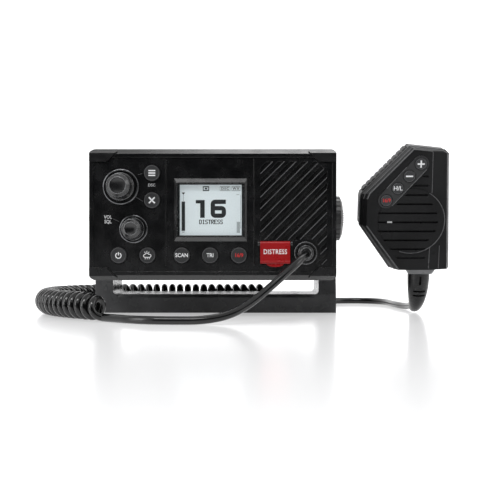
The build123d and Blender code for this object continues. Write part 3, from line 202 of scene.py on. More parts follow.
def moulded(name, colour, rough, texture=3200, depth=0.000006, vary=0.25, specular=0.4,
            edge=0.00035, metal=0.0):
    """Plastic, rubber or coated metal: fine grain, slow colour change and softened edges."""
    mat, tree, shader = shader_nodes(name)
    shader.inputs["Specular IOR Level"].default_value = specular
    shader.inputs["Metallic"].default_value = metal
    slow = grain(tree, 45, 4.0)
    darker = tuple(c * (1 - vary) for c in colour)
    lighter = tuple(min(1, c * (1 + vary)) for c in colour)
    tree.links.new(ramp(tree, slow, darker, lighter), shader.inputs["Base Color"])
    handled = grain(tree, 130, 5.0)
    tree.links.new(spread(tree, handled, rough - 0.06, rough + 0.06), shader.inputs["Roughness"])
    soft = node(tree, "ShaderNodeBevel", samples=4, in_Radius=edge)
    bump = node(tree, "ShaderNodeBump", in_Strength=1.0, in_Distance=depth)
    tree.links.new(grain(tree, texture, 2.0), bump.inputs["Height"])
    tree.links.new(soft.outputs["Normal"], bump.inputs["Normal"])
    tree.links.new(bump.outputs["Normal"], shader.inputs["Normal"])
    return mat


def turned_metal(name, colour, rough):
    """Metal with fine tool marks."""
    mat, tree, shader = shader_nodes(name)
    shader.inputs["Metallic"].default_value = 1.0
    marks = grain(tree, 900, 6.0)
    darker = tuple(c * 0.8 for c in colour)
    tree.links.new(ramp(tree, marks, darker, colour), shader.inputs["Base Color"])
    tree.links.new(spread(tree, marks, rough - 0.07, rough + 0.1), shader.inputs["Roughness"])
    bump = node(tree, "ShaderNodeBump", in_Strength=0.6, in_Distance=0.00002)
    tree.links.new(marks, bump.inputs["Height"])
    soft = node(tree, "ShaderNodeBevel", samples=4, in_Radius=0.0003)
    tree.links.new(soft.outputs["Normal"], bump.inputs["Normal"])
    tree.links.new(bump.outputs["Normal"], shader.inputs["Normal"])
    return mat


def clear_window(name):
    """A thin clear window: mostly open, with a reflection that grows where it is seen aslant."""
    steepness, most, least = 5.0, 0.6, 0.02
    mat, tree, shader = shader_nodes(name)
    tree.nodes.remove(shader)
    out = tree.nodes["Material Output"]
    clear = node(tree, "ShaderNodeBsdfTransparent")
    clear.inputs["Color"].default_value = (0.97, 0.98, 0.98, 1)
    gloss = node(tree, "ShaderNodeBsdfGlossy")
    gloss.inputs["Roughness"].default_value = 0.05
    facing = node(tree, "ShaderNodeLayerWeight", in_Blend=0.5)
    steep = node(tree, "ShaderNodeMath", operation="POWER")
    steep.inputs[1].default_value = steepness
    share = node(tree, "ShaderNodeMath", operation="MULTIPLY_ADD")
    share.inputs[1].default_value, share.inputs[2].default_value = most, least
    mix = node(tree, "ShaderNodeMixShader")
    tree.links.new(facing.outputs["Facing"], steep.inputs[0])
    tree.links.new(steep.outputs["Value"], share.inputs[0])
    tree.links.new(share.outputs["Value"], mix.inputs["Fac"])
    tree.links.new(clear.outputs["BSDF"], mix.inputs[1])
    tree.links.new(gloss.outputs["BSDF"], mix.inputs[2])
    tree.links.new(mix.outputs["Shader"], out.inputs["Surface"])
    return mat


def lit_panel(name, colour, glow):
    """The display's lit panel, slightly uneven."""
    mat, tree, shader = shader_nodes(name)
    tone = ramp(tree, grain(tree, 30, 2.0), tuple(c * 0.95 for c in colour), colour)
    tree.links.new(tone, shader.inputs["Base Color"])
    tree.links.new(tone, shader.inputs["Emission Color"])
    shader.inputs["Emission Strength"].default_value = glow
    shader.inputs["Roughness"].default_value = 0.35
    return mat


def print_ink(name, colour, glow=0.0):
    """Printed or backlit ink, slightly worn."""
    mat, tree, shader = shader_nodes(name)
    worn = ramp(tree, grain(tree, 2200, 2.0), tuple(c * 0.82 for c in colour), colour)
    tree.links.new(worn, shader.inputs["Base Color"])
    if glow:
        tree.links.new(worn, shader.inputs["Emission Color"])
        shader.inputs["Emission Strength"].default_value = glow
    shader.inputs["Roughness"].default_value = 0.5
    return mat


def circuit(name):
    """Green board with lighter tracks."""
    mat, tree, shader = shader_nodes(name)
    place = node(tree, "ShaderNodeTexCoord")
    tracks = node(tree, "ShaderNodeTexBrick", in_Scale=260.0, in_Mortar_Size=0.012)
    tracks.inputs["Color1"].default_value = (0.012, 0.10, 0.045, 1)
    tracks.inputs["Color2"].default_value = (0.015, 0.13, 0.055, 1)
    tracks.inputs["Mortar"].default_value = (0.05, 0.25, 0.12, 1)
    tree.links.new(place.outputs["Object"], tracks.inputs["Vector"])
    tree.links.new(tracks.outputs["Color"], shader.inputs["Base Color"])
    shader.inputs["Roughness"].default_value = 0.35
    return mat


CASE = moulded("case_black", (0.0038, 0.0040, 0.0045), 0.24, specular=0.5)
CAP = moulded("cap_grey", (0.0066, 0.0068, 0.0074), 0.30, specular=0.45)
TRIM = moulded("trim_black", (0.0085, 0.0087, 0.0092), 0.26, specular=0.7, texture=1200)
KNOB = moulded("knob_rubber", (0.0060, 0.0062, 0.0068), 0.24, specular=0.7, edge=0.0006)
RING = moulded("ring_gloss", (0.11, 0.112, 0.116), 0.24, metal=1.0, texture=900)
# painted highlight: bright metal beads on the knob and gland rims stand in for their shine
EDGE_HIGHLIGHT = moulded("painted_edge_highlight", (0.16, 0.162, 0.166), 0.26, metal=1.0, edge=0.0001)
# painted highlight: lighter beads along the microphone's edges stand in for their shine
MIC_EDGE_HIGHLIGHT = moulded("mic_edge_highlight", (0.095, 0.097, 0.100), 0.32, specular=0.5, edge=0.0001)
# painted highlight: dimmer lighter beads along the grille grooves and the microphone's dome and
# steps
DIM_EDGE_HIGHLIGHT = moulded("painted_dim_highlight", (0.052, 0.053, 0.056), 0.30, specular=0.6, edge=0.0001)
# painted highlight: a lighter bead round the top edge of each key
KEY_RIM_HIGHLIGHT = moulded("key_rim_highlight", (0.075, 0.076, 0.079), 0.40, edge=0.0001)
BOOT = moulded("boot_rubber", (0.0045, 0.0046, 0.0050), 0.26, specular=0.3, texture=900)
CLAMP = moulded("clamp_plastic", (0.022, 0.0222, 0.023), 0.38, specular=0.6, edge=0.0005)
KEYCAP = moulded("key_rubber", (0.028, 0.0287, 0.030), 0.46, specular=0.35)
MIC_CASE = moulded("mic_case", (0.0158, 0.0160, 0.0167), 0.32, specular=0.08, edge=0.0006)
MIC_KEYCAP = moulded("mic_key_rubber", (0.024, 0.0245, 0.027), 0.46)
MIC_PANEL = moulded("mic_panel", (0.022, 0.0224, 0.0236), 0.35, specular=0.3)
GRIP = moulded("grip_rubber", (0.010, 0.010, 0.011), 0.48, texture=1800, depth=0.00002)
BRACKET = moulded("bracket_plastic", (0.098, 0.099, 0.102), 0.26, edge=0.0008)
DIE_CAST = moulded("powder_coat", (0.011, 0.0112, 0.0122), 0.5, texture=2400, depth=0.00002,
                   edge=0.0005)
RED = moulded("red_plastic", (0.375, 0.0085, 0.0108), 0.30, specular=0.35, vary=0.10)
COLLAR = moulded("collar_grey", (0.17, 0.173, 0.177), 0.32, specular=0.5)
CORD = moulded("cord_jacket", (0.0042, 0.0044, 0.0047), 0.15, specular=0.42, texture=700,
               depth=0.00002, edge=0.0001)
STEEL = turned_metal("steel", (0.55, 0.56, 0.58), 0.3)
NICKEL = turned_metal("nickel", (0.62, 0.60, 0.55), 0.22)
BRASS = turned_metal("brass", (0.72, 0.50, 0.20), 0.3)
LENS = clear_window("clear_window")
PANEL = lit_panel("lit_panel", (0.66, 0.71, 0.73), 0.40)
INK_WHITE = print_ink("white_ink", (0.86, 0.87, 0.88), 0.15)
INK_GREY = print_ink("grey_ink", (0.66, 0.67, 0.68))
INK_DIM = print_ink("dim_ink", (0.06, 0.061, 0.063))
INK_RED = print_ink("red_ink", (0.60, 0.02, 0.02), 0.1)
SEGMENT = print_ink("dark_segment", (0.010, 0.012, 0.014))
SEGMENT_PALE = print_ink("pale_segment", (0.33, 0.37, 0.38))
BOARD = circuit("circuit_board")

FINISHES = {
    CASE: ["front_bezel"],
    CAP: ["corner_caps"],
    TRIM: ["display_frame", "cord_gland", "distress_pin"],
    KNOB: ["channel_knob", "volume_knob"],
    CLAMP: ["clamp_knob_left", "clamp_knob_right"],
    KEYCAP: list(KEYS),
    MIC_CASE: ["mic_front_shell", "mic_rear_shell"],
    MIC_KEYCAP: list(MIC_KEYS),
    MIC_PANEL: ["mic_key_panel"],
    BOOT: ["mic_boot"],
    GRIP: ["talk_lever", "power_gland", "tilt_washers", "case_gasket", "speaker_membrane",
           "main_speaker", "mic_speaker", "channel_plunger", "volume_plunger"],
    BRACKET: ["mounting_bracket"],
    DIE_CAST: ["rear_chassis"],
    RED: ["distress_cover", "distress_key"],
    COLLAR: ["mic_collar"],
    STEEL: ["clamp_screw_left", "clamp_screw_right", "case_screws", "mic_screws", "hanger_stud",
            "radio_shield", "channel_shaft", "volume_shaft", "channel_encoder", "volume_encoder",
            "tact_switches"],
    NICKEL: ["antenna_socket", "data_socket"],
    BRASS: ["thread_inserts"],
    LENS: ["display_lens"],
    PANEL: ["display_module"],
    BOARD: ["control_board", "main_board", "mic_board"],
}


def finish_nodes():
    """Gives every CAD node its material."""
    for mat, names in FINISHES.items():
        for name in names:
            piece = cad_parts[name]
            piece.data.materials.clear()
            piece.data.materials.append(mat)


# ---------------------------------------------------------------- planes for printed marks
def face_plane(x, z, out):
    """Frame at a point of the radio's face, out in front of it, with local z outwards."""
    place = Vector((x, FACE_Y - out, PIVOT_Z + z)) * MM
    return Matrix.Translation(place) @ Matrix.Rotation(math.radians(90), 4, "X")


def mic_plane(u, v, out, turn=0.0):
    """Frame at a point of the microphone's face, turned by some degrees within it."""
    lean = math.radians(MIC_PITCH)
    along = Vector((0, -math.sin(lean), math.cos(lean)))
    outward = Vector((0, -math.cos(lean), -math.sin(lean)))
    place = (Vector(MIC_ORIGIN) + Vector((u, 0, 0)) + along * v + outward * out) * MM
    basis = Matrix((Vector((1, 0, 0)), along, outward)).transposed().to_4x4()
    return Matrix.Translation(place) @ basis @ Matrix.Rotation(math.radians(turn), 4, "Z")


def link(name, mesh, mat, place, body):
    """Puts a finished mesh into the scene on its body."""
    mesh.materials.clear()
    mesh.materials.append(mat)
    piece = bpy.data.objects.new(name, mesh)
    scene.collection.objects.link(piece)
    piece.matrix_world = place
    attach(piece, body)
    return piece


def shapes_mesh(name, shapes):
    """One flat mesh of several closed outlines, each a list of (x, y) in millimetres."""
    mesh = bpy.data.meshes.new(name)
    points, faces = [], []
    for outline in shapes:
        start = len(points)
        points += [(x * MM, y * MM, 0) for x, y in outline]
        faces.append(list(range(start, len(points))))
    mesh.from_pydata(points, [], faces)
    mesh.update()
    return mesh


def turned(name, section, steps):
    """A mesh turned about its local z axis from a list of (radius, height) in millimetres."""
    mesh = bpy.data.meshes.new(name)
    points, faces, rows = [], [], len(section)
    for i in range(steps):
        turn = 2 * math.pi * i / steps
        points += [(r * math.cos(turn) * MM, r * math.sin(turn) * MM, h * MM) for r, h in section]
    for i in range(steps):
        j = (i + 1) % steps
        for k in range(rows - 1):
            faces.append((i * rows + k, i * rows + k + 1, j * rows + k + 1, j * rows + k))
    mesh.from_pydata(points, [], [face[::-1] for face in faces])
    for polygon in mesh.polygons:
        polygon.use_smooth = True
    mesh.update()
    return mesh


def bar(x, y, w, h):
    """Outline of an upright rectangle round (x, y)."""
    return [(x - w / 2, y - h / 2), (x + w / 2, y - h / 2),
            (x + w / 2, y + h / 2), (x - w / 2, y + h / 2)]


def slanted(x, y, length, width, degrees):
    """Outline of a bar turned about its middle."""
    c, s = math.cos(math.radians(degrees)), math.sin(math.radians(degrees))
    return [(x + c * a - s * b, y + s * a + c * b) for a, b in bar(0, 0, length, width)]


def ribbon(points, width, closed=False):
    """Quads of equal width along a line of points."""
    count = len(points)
    left, right = [], []
    for i, (x, y) in enumerate(points):
        before = points[i - 1] if i or closed else points[i]
        after = points[(i + 1) % count] if i < count - 1 or closed else points[i]
        d = Vector((after[0] - before[0], after[1] - before[1])).normalized()
        left.append((x - d.y * width / 2, y + d.x * width / 2))
        right.append((x + d.y * width / 2, y - d.x * width / 2))
    last = count if closed else count - 1
    return [[right[i], right[(i + 1) % count], left[(i + 1) % count], left[i]] for i in range(last)]


def arc(x, y, r, start, end, steps=12):
    """Points of an arc, in degrees."""
    turn = [math.radians(start + (end - start) * i / steps) for i in range(steps + 1)]
    return [(x + r * math.cos(t), y + r * math.sin(t)) for t in turn]


def bead(name, lines, radius, mat, place, body):
    """Thin round beads along lines of (x, y) or (x, y, z) on a plane, half sunk into it."""
    curve = bpy.data.curves.new(name, "CURVE")
    curve.dimensions = "3D"
    curve.bevel_depth, curve.bevel_resolution, curve.use_fill_caps = radius * MM, 2, True
    for points in lines:
        spline = curve.splines.new("POLY")
        spline.points.add(len(points) - 1)
        for point, (x, y, *z) in zip(spline.points, points):
            point.co = (x * MM, y * MM, sum(z) * MM, 1)
    temp = bpy.data.objects.new(name, curve)
    mesh = bpy.data.meshes.new_from_object(temp)
    bpy.data.objects.remove(temp)
    for polygon in mesh.polygons:
        polygon.use_smooth = True
    return link(name, mesh, mat, place, body)


def raised(points, height):
    """The same line of points at a height above the plane."""
    return [(x, y, height) for x, y in points]


def word(name, text, size, place, mat, body, bold=0.0, spacing=1.0, width=1.0):
    """A flat word, centred on its place. Bold thickens its strokes, in millimetres."""
    curve = bpy.data.curves.new(name, "FONT")
    curve.body = text
    curve.size = size * MM
    curve.align_x, curve.align_y = "CENTER", "CENTER"
    curve.offset = bold * MM
    curve.space_character = spacing
    curve.resolution_u = 3
    temp = bpy.data.objects.new(name, curve)
    mesh = bpy.data.meshes.new_from_object(temp)
    bpy.data.objects.remove(temp)
    mesh.transform(Matrix.Diagonal((width, 1, 1, 1)))
    return link(name, mesh, mat, place, body)


# ---------------------------------------------------------------- marks on the radio
def key_marks():
    """Symbols and words on the keys of the face."""
    lift = KEY_PROUD + INK_LIFT
    cloud = (arc(-1.5, -0.3, 0.95, 270, 100) + arc(-0.3, 0.35, 1.15, 160, 20)
             + arc(1.35, -0.25, 1.0, 80, -90))
    marks = {
        "menu_key": [bar(0, y, 4.5, 0.8) for y in (-1.55, 0, 1.55)],
        "cancel_key": [slanted(0, 0, 5.4, 0.95, 45), slanted(-1.0, 1.0, 2.6, 0.95, -45),
                       slanted(1.0, -1.0, 2.6, 0.95, -45)],
        "power_key": ribbon(arc(0, -0.1, 1.75, 62, -242, 28), 0.62) + [bar(0, 1.05, 0.62, 2.1)],
        "weather_key": ribbon(cloud + [cloud[0]], 0.5)
        + [slanted(x, y, 0.95, 0.4, turn) for x, y, turn in
           ((-0.3, 2.45, 90), (-1.55, 2.0, 130), (0.95, 2.0, 50))]
        + [slanted(x, -2.0, 0.9, 0.4, 70) for x in (-1.3, 0.0, 1.3)],
    }
    for key, shapes in marks.items():
        x, z = KEYS[key]
        mesh = shapes_mesh(f"{key}_mark", shapes)
        link(f"{key}_mark", mesh, INK_WHITE, face_plane(x, z, lift), key)
    for key, text, ink in (("scan_key", "SCAN", INK_WHITE), ("watch_key", "TRI", INK_WHITE),
                           ("priority_key", "16/9", INK_RED)):
        x, z = KEYS[key]
        word(f"{key}_mark", text, 3.5, face_plane(x, z, lift), ink, key, bold=0.07,
             width=0.92)


def face_marks():
    """Small words and leader lines on the face, and the word on the distress cover."""
    word("dsc_label", "DSC", 2.5, face_plane(-39.6, 19.0, INK_LIFT), INK_GREY, "radio",
         bold=0.02)
    for name, text, z in (("volume_label", "VOL", -1.75), ("squelch_label", "SQL", -4.75)):
        word(name, text, 3.1, face_plane(-67.9, z, INK_LIFT), INK_GREY, "radio",
             bold=0.08, width=0.84)
    lines = []
    for start, end in (((-48.4, 25.7), (-45.7, 26.5)), ((-49.8, 11.2), (-45.2, 8.5)),
                       ((-64.5, -2.8), (-60.7, -4.6))):
        lines += ribbon([start, end], 0.35)
    link("leader_lines", shapes_mesh("leader_lines", lines), INK_DIM, face_plane(0, 0, INK_LIFT),
         "radio")
    word("distress_label", "DISTRESS", 4.4, face_plane(*COVER, COVER_PROUD + INK_LIFT), INK_WHITE,
         "distress_cover", bold=0.05, spacing=1.08, width=0.80)


def knob_rings():
    """Glossy rounded rings round the two knobs, and painted highlights along the knobs' edges as
    bright beads.
    """
    for name, (x, z, outer) in KNOB_RINGS.items():
        mesh = turned(f"{name}_ring", [(outer + dr, h) for dr, h in RING_SECTION], 72)
        link(f"{name}_ring", mesh, RING, face_plane(x, z, 0.0), "radio")
        rims = [raised(arc(0, 0, r, 0, 360, 48), height) for r, height in KNOB_RIM_HIGHLIGHTS[name]]
        bead(f"{name}_knob_rim_highlights", rims, 0.28, EDGE_HIGHLIGHT, face_plane(x, z, 0.0), f"{name}_dial")


def gland_highlights():
    """Painted highlights on the rims of the cord gland, as bright beads."""
    for i, (radius, height, thick) in enumerate(GLAND_HIGHLIGHTS):
        line = raised(arc(0, 0, radius, 0, 360, 48), height)
        bead(f"gland_ring_highlight_{i}", [line], thick, EDGE_HIGHLIGHT, face_plane(*GLAND, 0.0), "radio")


def inside(x, z):
    """Whether a point of the face lies within the speaker grille."""
    odd = False
    for (x1, z1), (x2, z2) in zip(GRILLE, GRILLE[1:] + GRILLE[:1]):
        if (z1 > z) != (z2 > z) and x < x1 + (z - z1) * (x2 - x1) / (z2 - z1):
            odd = not odd
    return odd and math.hypot(x - GLAND[0], z - GLAND[1]) > GLAND_CLEAR


def grille_highlights():
    """A painted highlight along the lower edge of each diagonal groove of the grille, as a thin
    lighter bead.
    """
    slope, lines = math.sqrt(0.5), []
    for row in range(GROOVE_ROWS):
        across = (row - (GROOVE_ROWS - 1) / 2) * GROOVE_PITCH - GROOVE_W / 2 - HIGHLIGHT_OFFSET
        run = []
        for step in range(round(2 * GROOVE_REACH / GROOVE_STEP)):
            t = -GROOVE_REACH + GROOVE_STEP * step
            x, z = GROOVE_X + slope * (t - across), slope * (t + across)
            if inside(x, z):
                run.append((x, z))
            elif run:
                lines.append([run[0], run[-1]])
                run = []
    lines = [line for line in lines if math.dist(*line) > SHORTEST_HIGHLIGHT]
    bead("grille_highlights", lines, HIGHLIGHT_R, DIM_EDGE_HIGHLIGHT, face_plane(0, 0, 0.0), "radio")


def key_rim_highlights():
    """A painted highlight round each key's top edge, as a lighter bead."""
    for name, (x, z) in KEYS.items():
        bead(f"{name}_rim", [arc(0, 0, KEY_RIM_R, 0, 360, 40)], 0.22, KEY_RIM_HIGHLIGHT,
             face_plane(x, z, KEY_PROUD - RIM_SINK), name)
    for name, (u, v) in MIC_KEYS.items():
        bead(f"{name}_rim", [arc(0, 0, MIC_KEY_RIM_R, 0, 360, 32)], 0.2, KEY_RIM_HIGHLIGHT,
             mic_plane(u, v, MIC_KEY_PROUD - RIM_SINK), name)


def display_mask():
    """The black border round the lit part of the display."""
    (out_x, out_z), (in_x, in_z) = (22.6, 18.4), (20.1, 16.45)  # half sizes of its two outlines
    border = [bar(0, s * (out_z + in_z) / 2, 2 * out_x, out_z - in_z) for s in (-1, 1)]
    border += [bar(s * (out_x + in_x) / 2, 0, out_x - in_x, 2 * in_z) for s in (-1, 1)]
    link("display_mask", shapes_mesh("display_mask", border), SEGMENT,
         face_plane(*PICTURE, -PICTURE_DEPTH + MASK_LIFT), "radio")


def mic_edge_highlights():
    """Painted highlights along the edges of the microphone's shells, dome and key panel, as lighter
    beads.
    """
    plane = mic_plane(0, 0, 0.0)
    bead("mic_face_highlight", [MIC_FACE_EDGE, MIC_FACE_LOWER], 0.42, MIC_EDGE_HIGHLIGHT, plane, "handset")
    bead("mic_seam_highlight", [raised(MIC_SEAM, -MIC_SEAM_DEPTH)], 0.5, MIC_EDGE_HIGHLIGHT, plane, "handset")
    bead("mic_shoulder_highlight", [raised(MIC_SHOULDER, -MIC_SHOULDER_DEPTH)], 0.34, MIC_EDGE_HIGHLIGHT, plane,
         "handset")
    u, v, radius, height = MIC_DOME
    bead("mic_dome_highlight", [raised(arc(u, v, radius - 0.2, -110, 60, 40), height)], 0.3, DIM_EDGE_HIGHLIGHT,
         plane, "handset")
    bead("mic_step_highlights", [[(18.0, 1.2), (18.0, 16.0)], [(18.0, 53.0), (17.5, 80.0)],
                            [(25.0, 1.0, -2.1), (25.0, 17.0, -2.1)]], 0.28, DIM_EDGE_HIGHLIGHT, plane,
         "handset")
    first, last = Vector(MIC_KEYS["mic_priority_key"]), Vector(MIC_KEYS["mic_plus_key"])
    run = (last - first).normalized()
    side = Vector((run.y, -run.x)) * 5.4
    bead("mic_panel_highlight", [raised([first + side, last + side], 0.5),
                            raised([first - side + run * 6, last - side - run * 8], 0.5)],
         0.25, MIC_EDGE_HIGHLIGHT, plane, "handset")


def display_marks():
    """What the display shows: channel 16 with its small signs."""
    cx, cz = PICTURE
    dark, pale = [], []
    # Channel number, in broad strokes
    dark += [bar(-5.4, 0.72, 2.95, 11.55), bar(-8.3, 5.4, 2.9, 2.2)]
    left, right, top, middle, foot, c = 1.35, 8.5, 5.35, 1.2, -3.65, 1.5
    six = ([(9.8, top), (left + c, top)] + arc(left + c, top - c, c, 90, 180, 5)
           + arc(left + c, foot + c, c, 180, 270, 5) + arc(right - c, foot + c, c, 270, 360, 5)
           + arc(right - c, middle - c, c, 0, 90, 5) + [(left + 1.3, middle)])
    dark += ribbon(six, 2.8)
    # Dot-matrix word below it
    column, row = 0.325, 0.40
    for i, letter in enumerate("DISTRESS"):
        for j, bits in enumerate(DOTS[letter]):
            for k in range(5):
                if bits >> (4 - k) & 1:
                    x = 0.2 + (i * 6 + k - 23) * column
                    dark.append(bar(x, -7.7 + (3 - j) * row, column * 1.6, row * 1.2))
    # Signal bar with its arrow
    dark += [bar(-17.8, -4.0, 2.2, 19.0), [(-18.9, 11.4), (-17.8, 9.9), (-16.7, 11.4)]]
    pale += [bar(-17.8, 7.7, 0.25, 4.2), bar(-17.8, -14.3, 1.6, 0.5)]
    # Box in the middle of the top, and the two boxes at its right
    dark += ribbon([(-4.9, 12.7), (-1.3, 12.7), (-1.3, 15.1), (-4.9, 15.1)], 0.85, closed=True)
    dark += [bar(-3.1, 13.9, 1.6, 1.0)]
    dark += ribbon([(6.0, 12.6), (12.6, 12.6), (12.6, 15.2), (6.0, 15.2)], 0.25, closed=True)
    dark += ribbon([(13.6, 12.6), (19.2, 12.6), (19.2, 15.2), (13.6, 15.2)], 0.25, closed=True)
    # Level scale at the right
    pale += [bar(17.9, -14.4 + 0.72 * i, 2.1, 0.5) for i in range(10)]
    pale += [bar(19.4, -1.0, 0.2, 22.0), bar(17.6, 10.0, 1.8, 0.3)]
    lift = -PICTURE_DEPTH + FIGURE_LIFT
    place = face_plane(cx, cz, lift)
    link("display_figures", shapes_mesh("display_figures", dark), SEGMENT, place, "radio")
    link("display_scale", shapes_mesh("display_scale", pale), SEGMENT_PALE, place, "radio")
    for side, text, x in (("left", "DSC", 9.3), ("right", "WX", 16.4)):
        word(f"display_sign_{side}", text, 2.3, face_plane(cx + x, cz + 13.9, lift), SEGMENT,
             "radio", bold=0.05, spacing=1.25)


# ---------------------------------------------------------------- marks on the microphone
def mic_marks():
    """Symbols on the microphone's keys, and a small white patch beside them that glows faintly."""
    lift = MIC_KEY_PROUD + INK_LIFT
    shapes = {
        "mic_plus_key": [bar(0, 0, 4.7, 1.0), bar(0, 1.43, 1.0, 1.86), bar(0, -1.43, 1.0, 1.86)],
        "mic_minus_key": [bar(0, 0, 4.7, 1.0)],
    }
    for key, outlines in shapes.items():
        mesh = shapes_mesh(f"{key}_mark", outlines)
        link(f"{key}_mark", mesh, INK_WHITE, mic_plane(*MIC_KEYS[key], lift), key)
    mesh = shapes_mesh("mic_white_patch", [bar(0, 0, 3.2, 1.2)])
    link("mic_white_patch", mesh, INK_WHITE, mic_plane(-9.2, 33.52, 0.05), "handset")
    word("mic_level_key_mark", "H/L", 4.0, mic_plane(*MIC_KEYS["mic_level_key"], lift), INK_WHITE,
         "mic_level_key", bold=0.06)
    word("mic_priority_key_mark", "16/9", 3.4, mic_plane(*MIC_KEYS["mic_priority_key"], lift),
         INK_RED, "mic_priority_key", bold=0.08, width=0.95)


# ---------------------------------------------------------------- cord
def smooth_curve(name, points, bevel=0.0):
    """A NURBS curve with the given points, in millimetres, as its control points."""
    curve = bpy.data.curves.new(name, "CURVE")
    curve.dimensions = "3D"
    curve.bevel_depth = bevel * MM
    curve.bevel_resolution = 4
    curve.use_fill_caps = True
    curve.resolution_u = 12
    spline = curve.splines.new("NURBS")
    spline.points.add(len(points) - 1)
    for point, place in zip(spline.points, points):
        point.co = (*(c * MM for c in place), 1)
    spline.order_u = 3
    spline.use_endpoint_u = True
    return bpy.data.objects.new(name, curve)


def line_of(points):
    """Points along the smooth curve through a route, in millimetres, with their running lengths."""
    piece = smooth_curve("route", points)
    mesh = bpy.data.meshes.new_from_object(piece)
    line = [v.co / MM for v in mesh.vertices]
    bpy.data.objects.remove(piece)
    bpy.data.meshes.remove(mesh)
    lengths = [0.0]
    for a, b in zip(line, line[1:]):
        lengths.append(lengths[-1] + (b - a).length)
    return line, lengths


def along(line, lengths, distance):
    """The point and the direction at a distance along a line."""
    distance = min(max(distance, 0.0), lengths[-1])
    i = 1
    while i < len(lengths) - 1 and lengths[i] < distance:
        i += 1
    part = (distance - lengths[i - 1]) / (lengths[i] - lengths[i - 1])
    return line[i - 1].lerp(line[i], part), (line[i] - line[i - 1]).normalized()


def helix_points():
    """Points of the curly cord, which lies on the floor and tightens at its front end."""
    line, lengths = line_of([(x, y, COIL_Z) for x, y in COIL_ROUTE])
    total, full = lengths[-1], (COIL_D - CORD_D) / 2
    entry, quick = 3.6, 0.8  # millimetres of straight entry, and how soon it turns
    narrow, widening = 0.3, 5  # share by which it starts narrower, and how soon it widens
    turns = round((total - 2 * entry) / COIL_PITCH)
    steps = turns * 14
    up = Vector((0, 0, 1))
    points = []
    for i in range(steps + 1):
        turn = 2 * math.pi * turns * i / steps
        back = 2 * math.pi * turns - turn
        distance = (entry * (1 - math.exp(-turn / quick)) - entry * (1 - math.exp(-back / quick))
                    + entry + (total - 2 * entry) * i / steps)
        place, ahead = along(line, lengths, distance)
        side = up.cross(ahead).normalized()
        radius = full * (1 - narrow * math.exp(-turn / widening))
        place.z -= full - radius
        points.append(tuple(place + side * radius * math.sin(turn)
                            - up * radius * math.cos(turn)))
    return points


def lead(name, route):
    """A plain stretch of cord as a tube of mesh, with the line that it follows, in metres."""
    piece = smooth_curve(name, route, CORD_D / 2)
    mesh = bpy.data.meshes.new_from_object(piece)
    bpy.data.objects.remove(piece)
    for polygon in mesh.polygons:
        polygon.use_smooth = True
    line, lengths = line_of(route)
    return bpy.data.objects.new(name, mesh), [tuple(p * MM) for p in line], lengths[-1] * MM


def cords():
    """The plain stretch at the radio, the curly stretch and the plain stretch at the microphone."""
    front, front_path, front_length = lead("front_lead", FRONT_ROUTE)
    rear, rear_path, rear_length = lead("rear_lead", REAR_ROUTE)
    turns = helix_points()
    curly = smooth_curve("curly_cord_turns", turns, CORD_D / 2)
    curly.data.resolution_u = 2
    curly.data.bevel_resolution = 3
    for piece in (front, curly, rear):
        piece.data.materials.append(CORD)
        scene.collection.objects.link(piece)
    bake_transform(front)
    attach(curly, "bracket")
    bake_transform(rear)
    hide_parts("cord_front_lead")
    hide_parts("curly_cord")
    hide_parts("cord_rear_lead")


# ---------------------------------------------------------------- studio
def backdrop():
    """A pale floor that sweeps up behind the object."""
    front, back, bend, top, half = -0.64, 1.2, 0.6, 2.4, 3.0
    steps = 16
    profile = [(front, 0.0), (back - bend, 0.0)]
    profile += [(back - bend + bend * math.sin(t), bend - bend * math.cos(t))
                for t in (math.radians(90 * i / steps) for i in range(1, steps + 1))]
    profile.append((back, top))
    mesh = bpy.data.meshes.new("floor")
    points = [(x, y, z) for y, z in profile for x in (-half, half)]
    faces = [(2 * i, 2 * i + 1, 2 * i + 3, 2 * i + 2) for i in range(len(profile) - 1)]
    mesh.from_pydata(points, [], faces)
    for polygon in mesh.polygons:
        polygon.use_smooth = True
    mat, tree, shader = shader_nodes("floor_white")
    tone = ramp(tree, grain(tree, 3, 2.0), (0.88, 0.88, 0.885), (0.90, 0.90, 0.905))
    tree.links.new(tone, shader.inputs["Base Color"])
    tree.links.new(tone, shader.inputs["Emission Color"])
    tree.links.new(seen(tree, 0.0, FLOOR_GLOW), shader.inputs["Emission Strength"])
    shader.inputs["Roughness"].default_value = 0.25
    shader.inputs["Coat Weight"].default_value = 0.7
    shader.inputs["Coat Roughness"].default_value = 0.15
    mesh.materials.append(mat)
    floor = bpy.data.objects.new("floor", mesh)
    scene.collection.objects.link(floor)


def flag():
    """A black card behind the camera, which the dark face mirrors. The camera doesn't see it."""
    mesh = bpy.data.meshes.new("flag")
    left, right, y, low, high = -0.9, 1.7, -1.4, -0.8, 0.75
    corners = [(left, y, low), (right, y, low), (right, y, high), (left, y, high)]
    mesh.from_pydata(corners, [], [(0, 1, 2, 3)])
    mesh.materials.append(moulded("flag_cloth", (0.012, 0.012, 0.012), 0.9, specular=0.1))
    card = bpy.data.objects.new("flag", mesh)
    card.visible_camera = False
    scene.collection.objects.link(card)


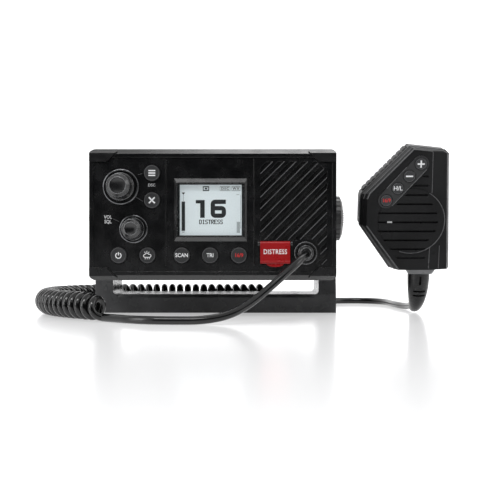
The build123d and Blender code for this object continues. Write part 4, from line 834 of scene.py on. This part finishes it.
def seen(tree, other, direct):
    """One strength for camera, glossy and transmission rays, and another for the rest."""
    rays = node(tree, "ShaderNodeLightPath")
    camera_or_gloss = node(tree, "ShaderNodeMath", operation="MAXIMUM")
    any_direct = node(tree, "ShaderNodeMath", operation="MAXIMUM")
    strength = node(tree, "ShaderNodeMapRange", in_To_Min=other, in_To_Max=direct)
    tree.links.new(rays.outputs["Is Camera Ray"], camera_or_gloss.inputs[0])
    tree.links.new(rays.outputs["Is Glossy Ray"], camera_or_gloss.inputs[1])
    tree.links.new(camera_or_gloss.outputs["Value"], any_direct.inputs[0])
    tree.links.new(rays.outputs["Is Transmission Ray"], any_direct.inputs[1])
    tree.links.new(any_direct.outputs["Value"], strength.inputs["Value"])
    return strength.outputs["Result"]


def softbox(name, place, aim, size, power):
    """A rectangular lamp that faces a point."""
    lamp = bpy.data.lights.new(name, "AREA")
    lamp.shape = "RECTANGLE"
    lamp.size, lamp.size_y = size
    lamp.energy = power
    piece = bpy.data.objects.new(name, lamp)
    scene.collection.objects.link(piece)
    piece.location = place
    piece.rotation_euler = (Vector(aim) - Vector(place)).to_track_quat("-Z", "Y").to_euler()


def studio():
    """Backdrop, flag, lamps, world and the way colours are shown."""
    backdrop()
    flag()
    for lamp in LAMPS:
        softbox(*lamp)
    world = bpy.data.worlds.new("studio")
    world.use_nodes = True
    tree = world.node_tree
    light = tree.nodes["Background"]
    light.inputs["Color"].default_value = (1, 1, 1, 1)
    tree.links.new(seen(tree, ROOM_LIGHT, WHITE), light.inputs["Strength"])
    scene.world = world
    scene.view_settings.view_transform = "Standard"


def camera():
    """Level camera in front of the face, a little right of and below its middle."""
    data = bpy.data.cameras.new("camera")
    data.sensor_width, data.lens = SENSOR_MM, LENS_MM
    data.clip_start, data.clip_end = 0.05, 20.0
    piece = bpy.data.objects.new("camera", data)
    piece.location = CAMERA_AT
    piece.rotation_euler = (math.radians(90), 0, 0)
    scene.collection.objects.link(piece)
    scene.camera = piece


camera()
studio()
cords()
finish_nodes()
key_marks()
face_marks()
display_marks()
display_mask()
knob_rings()
gland_highlights()
grille_highlights()
key_rim_highlights()
mic_marks()
mic_edge_highlights()
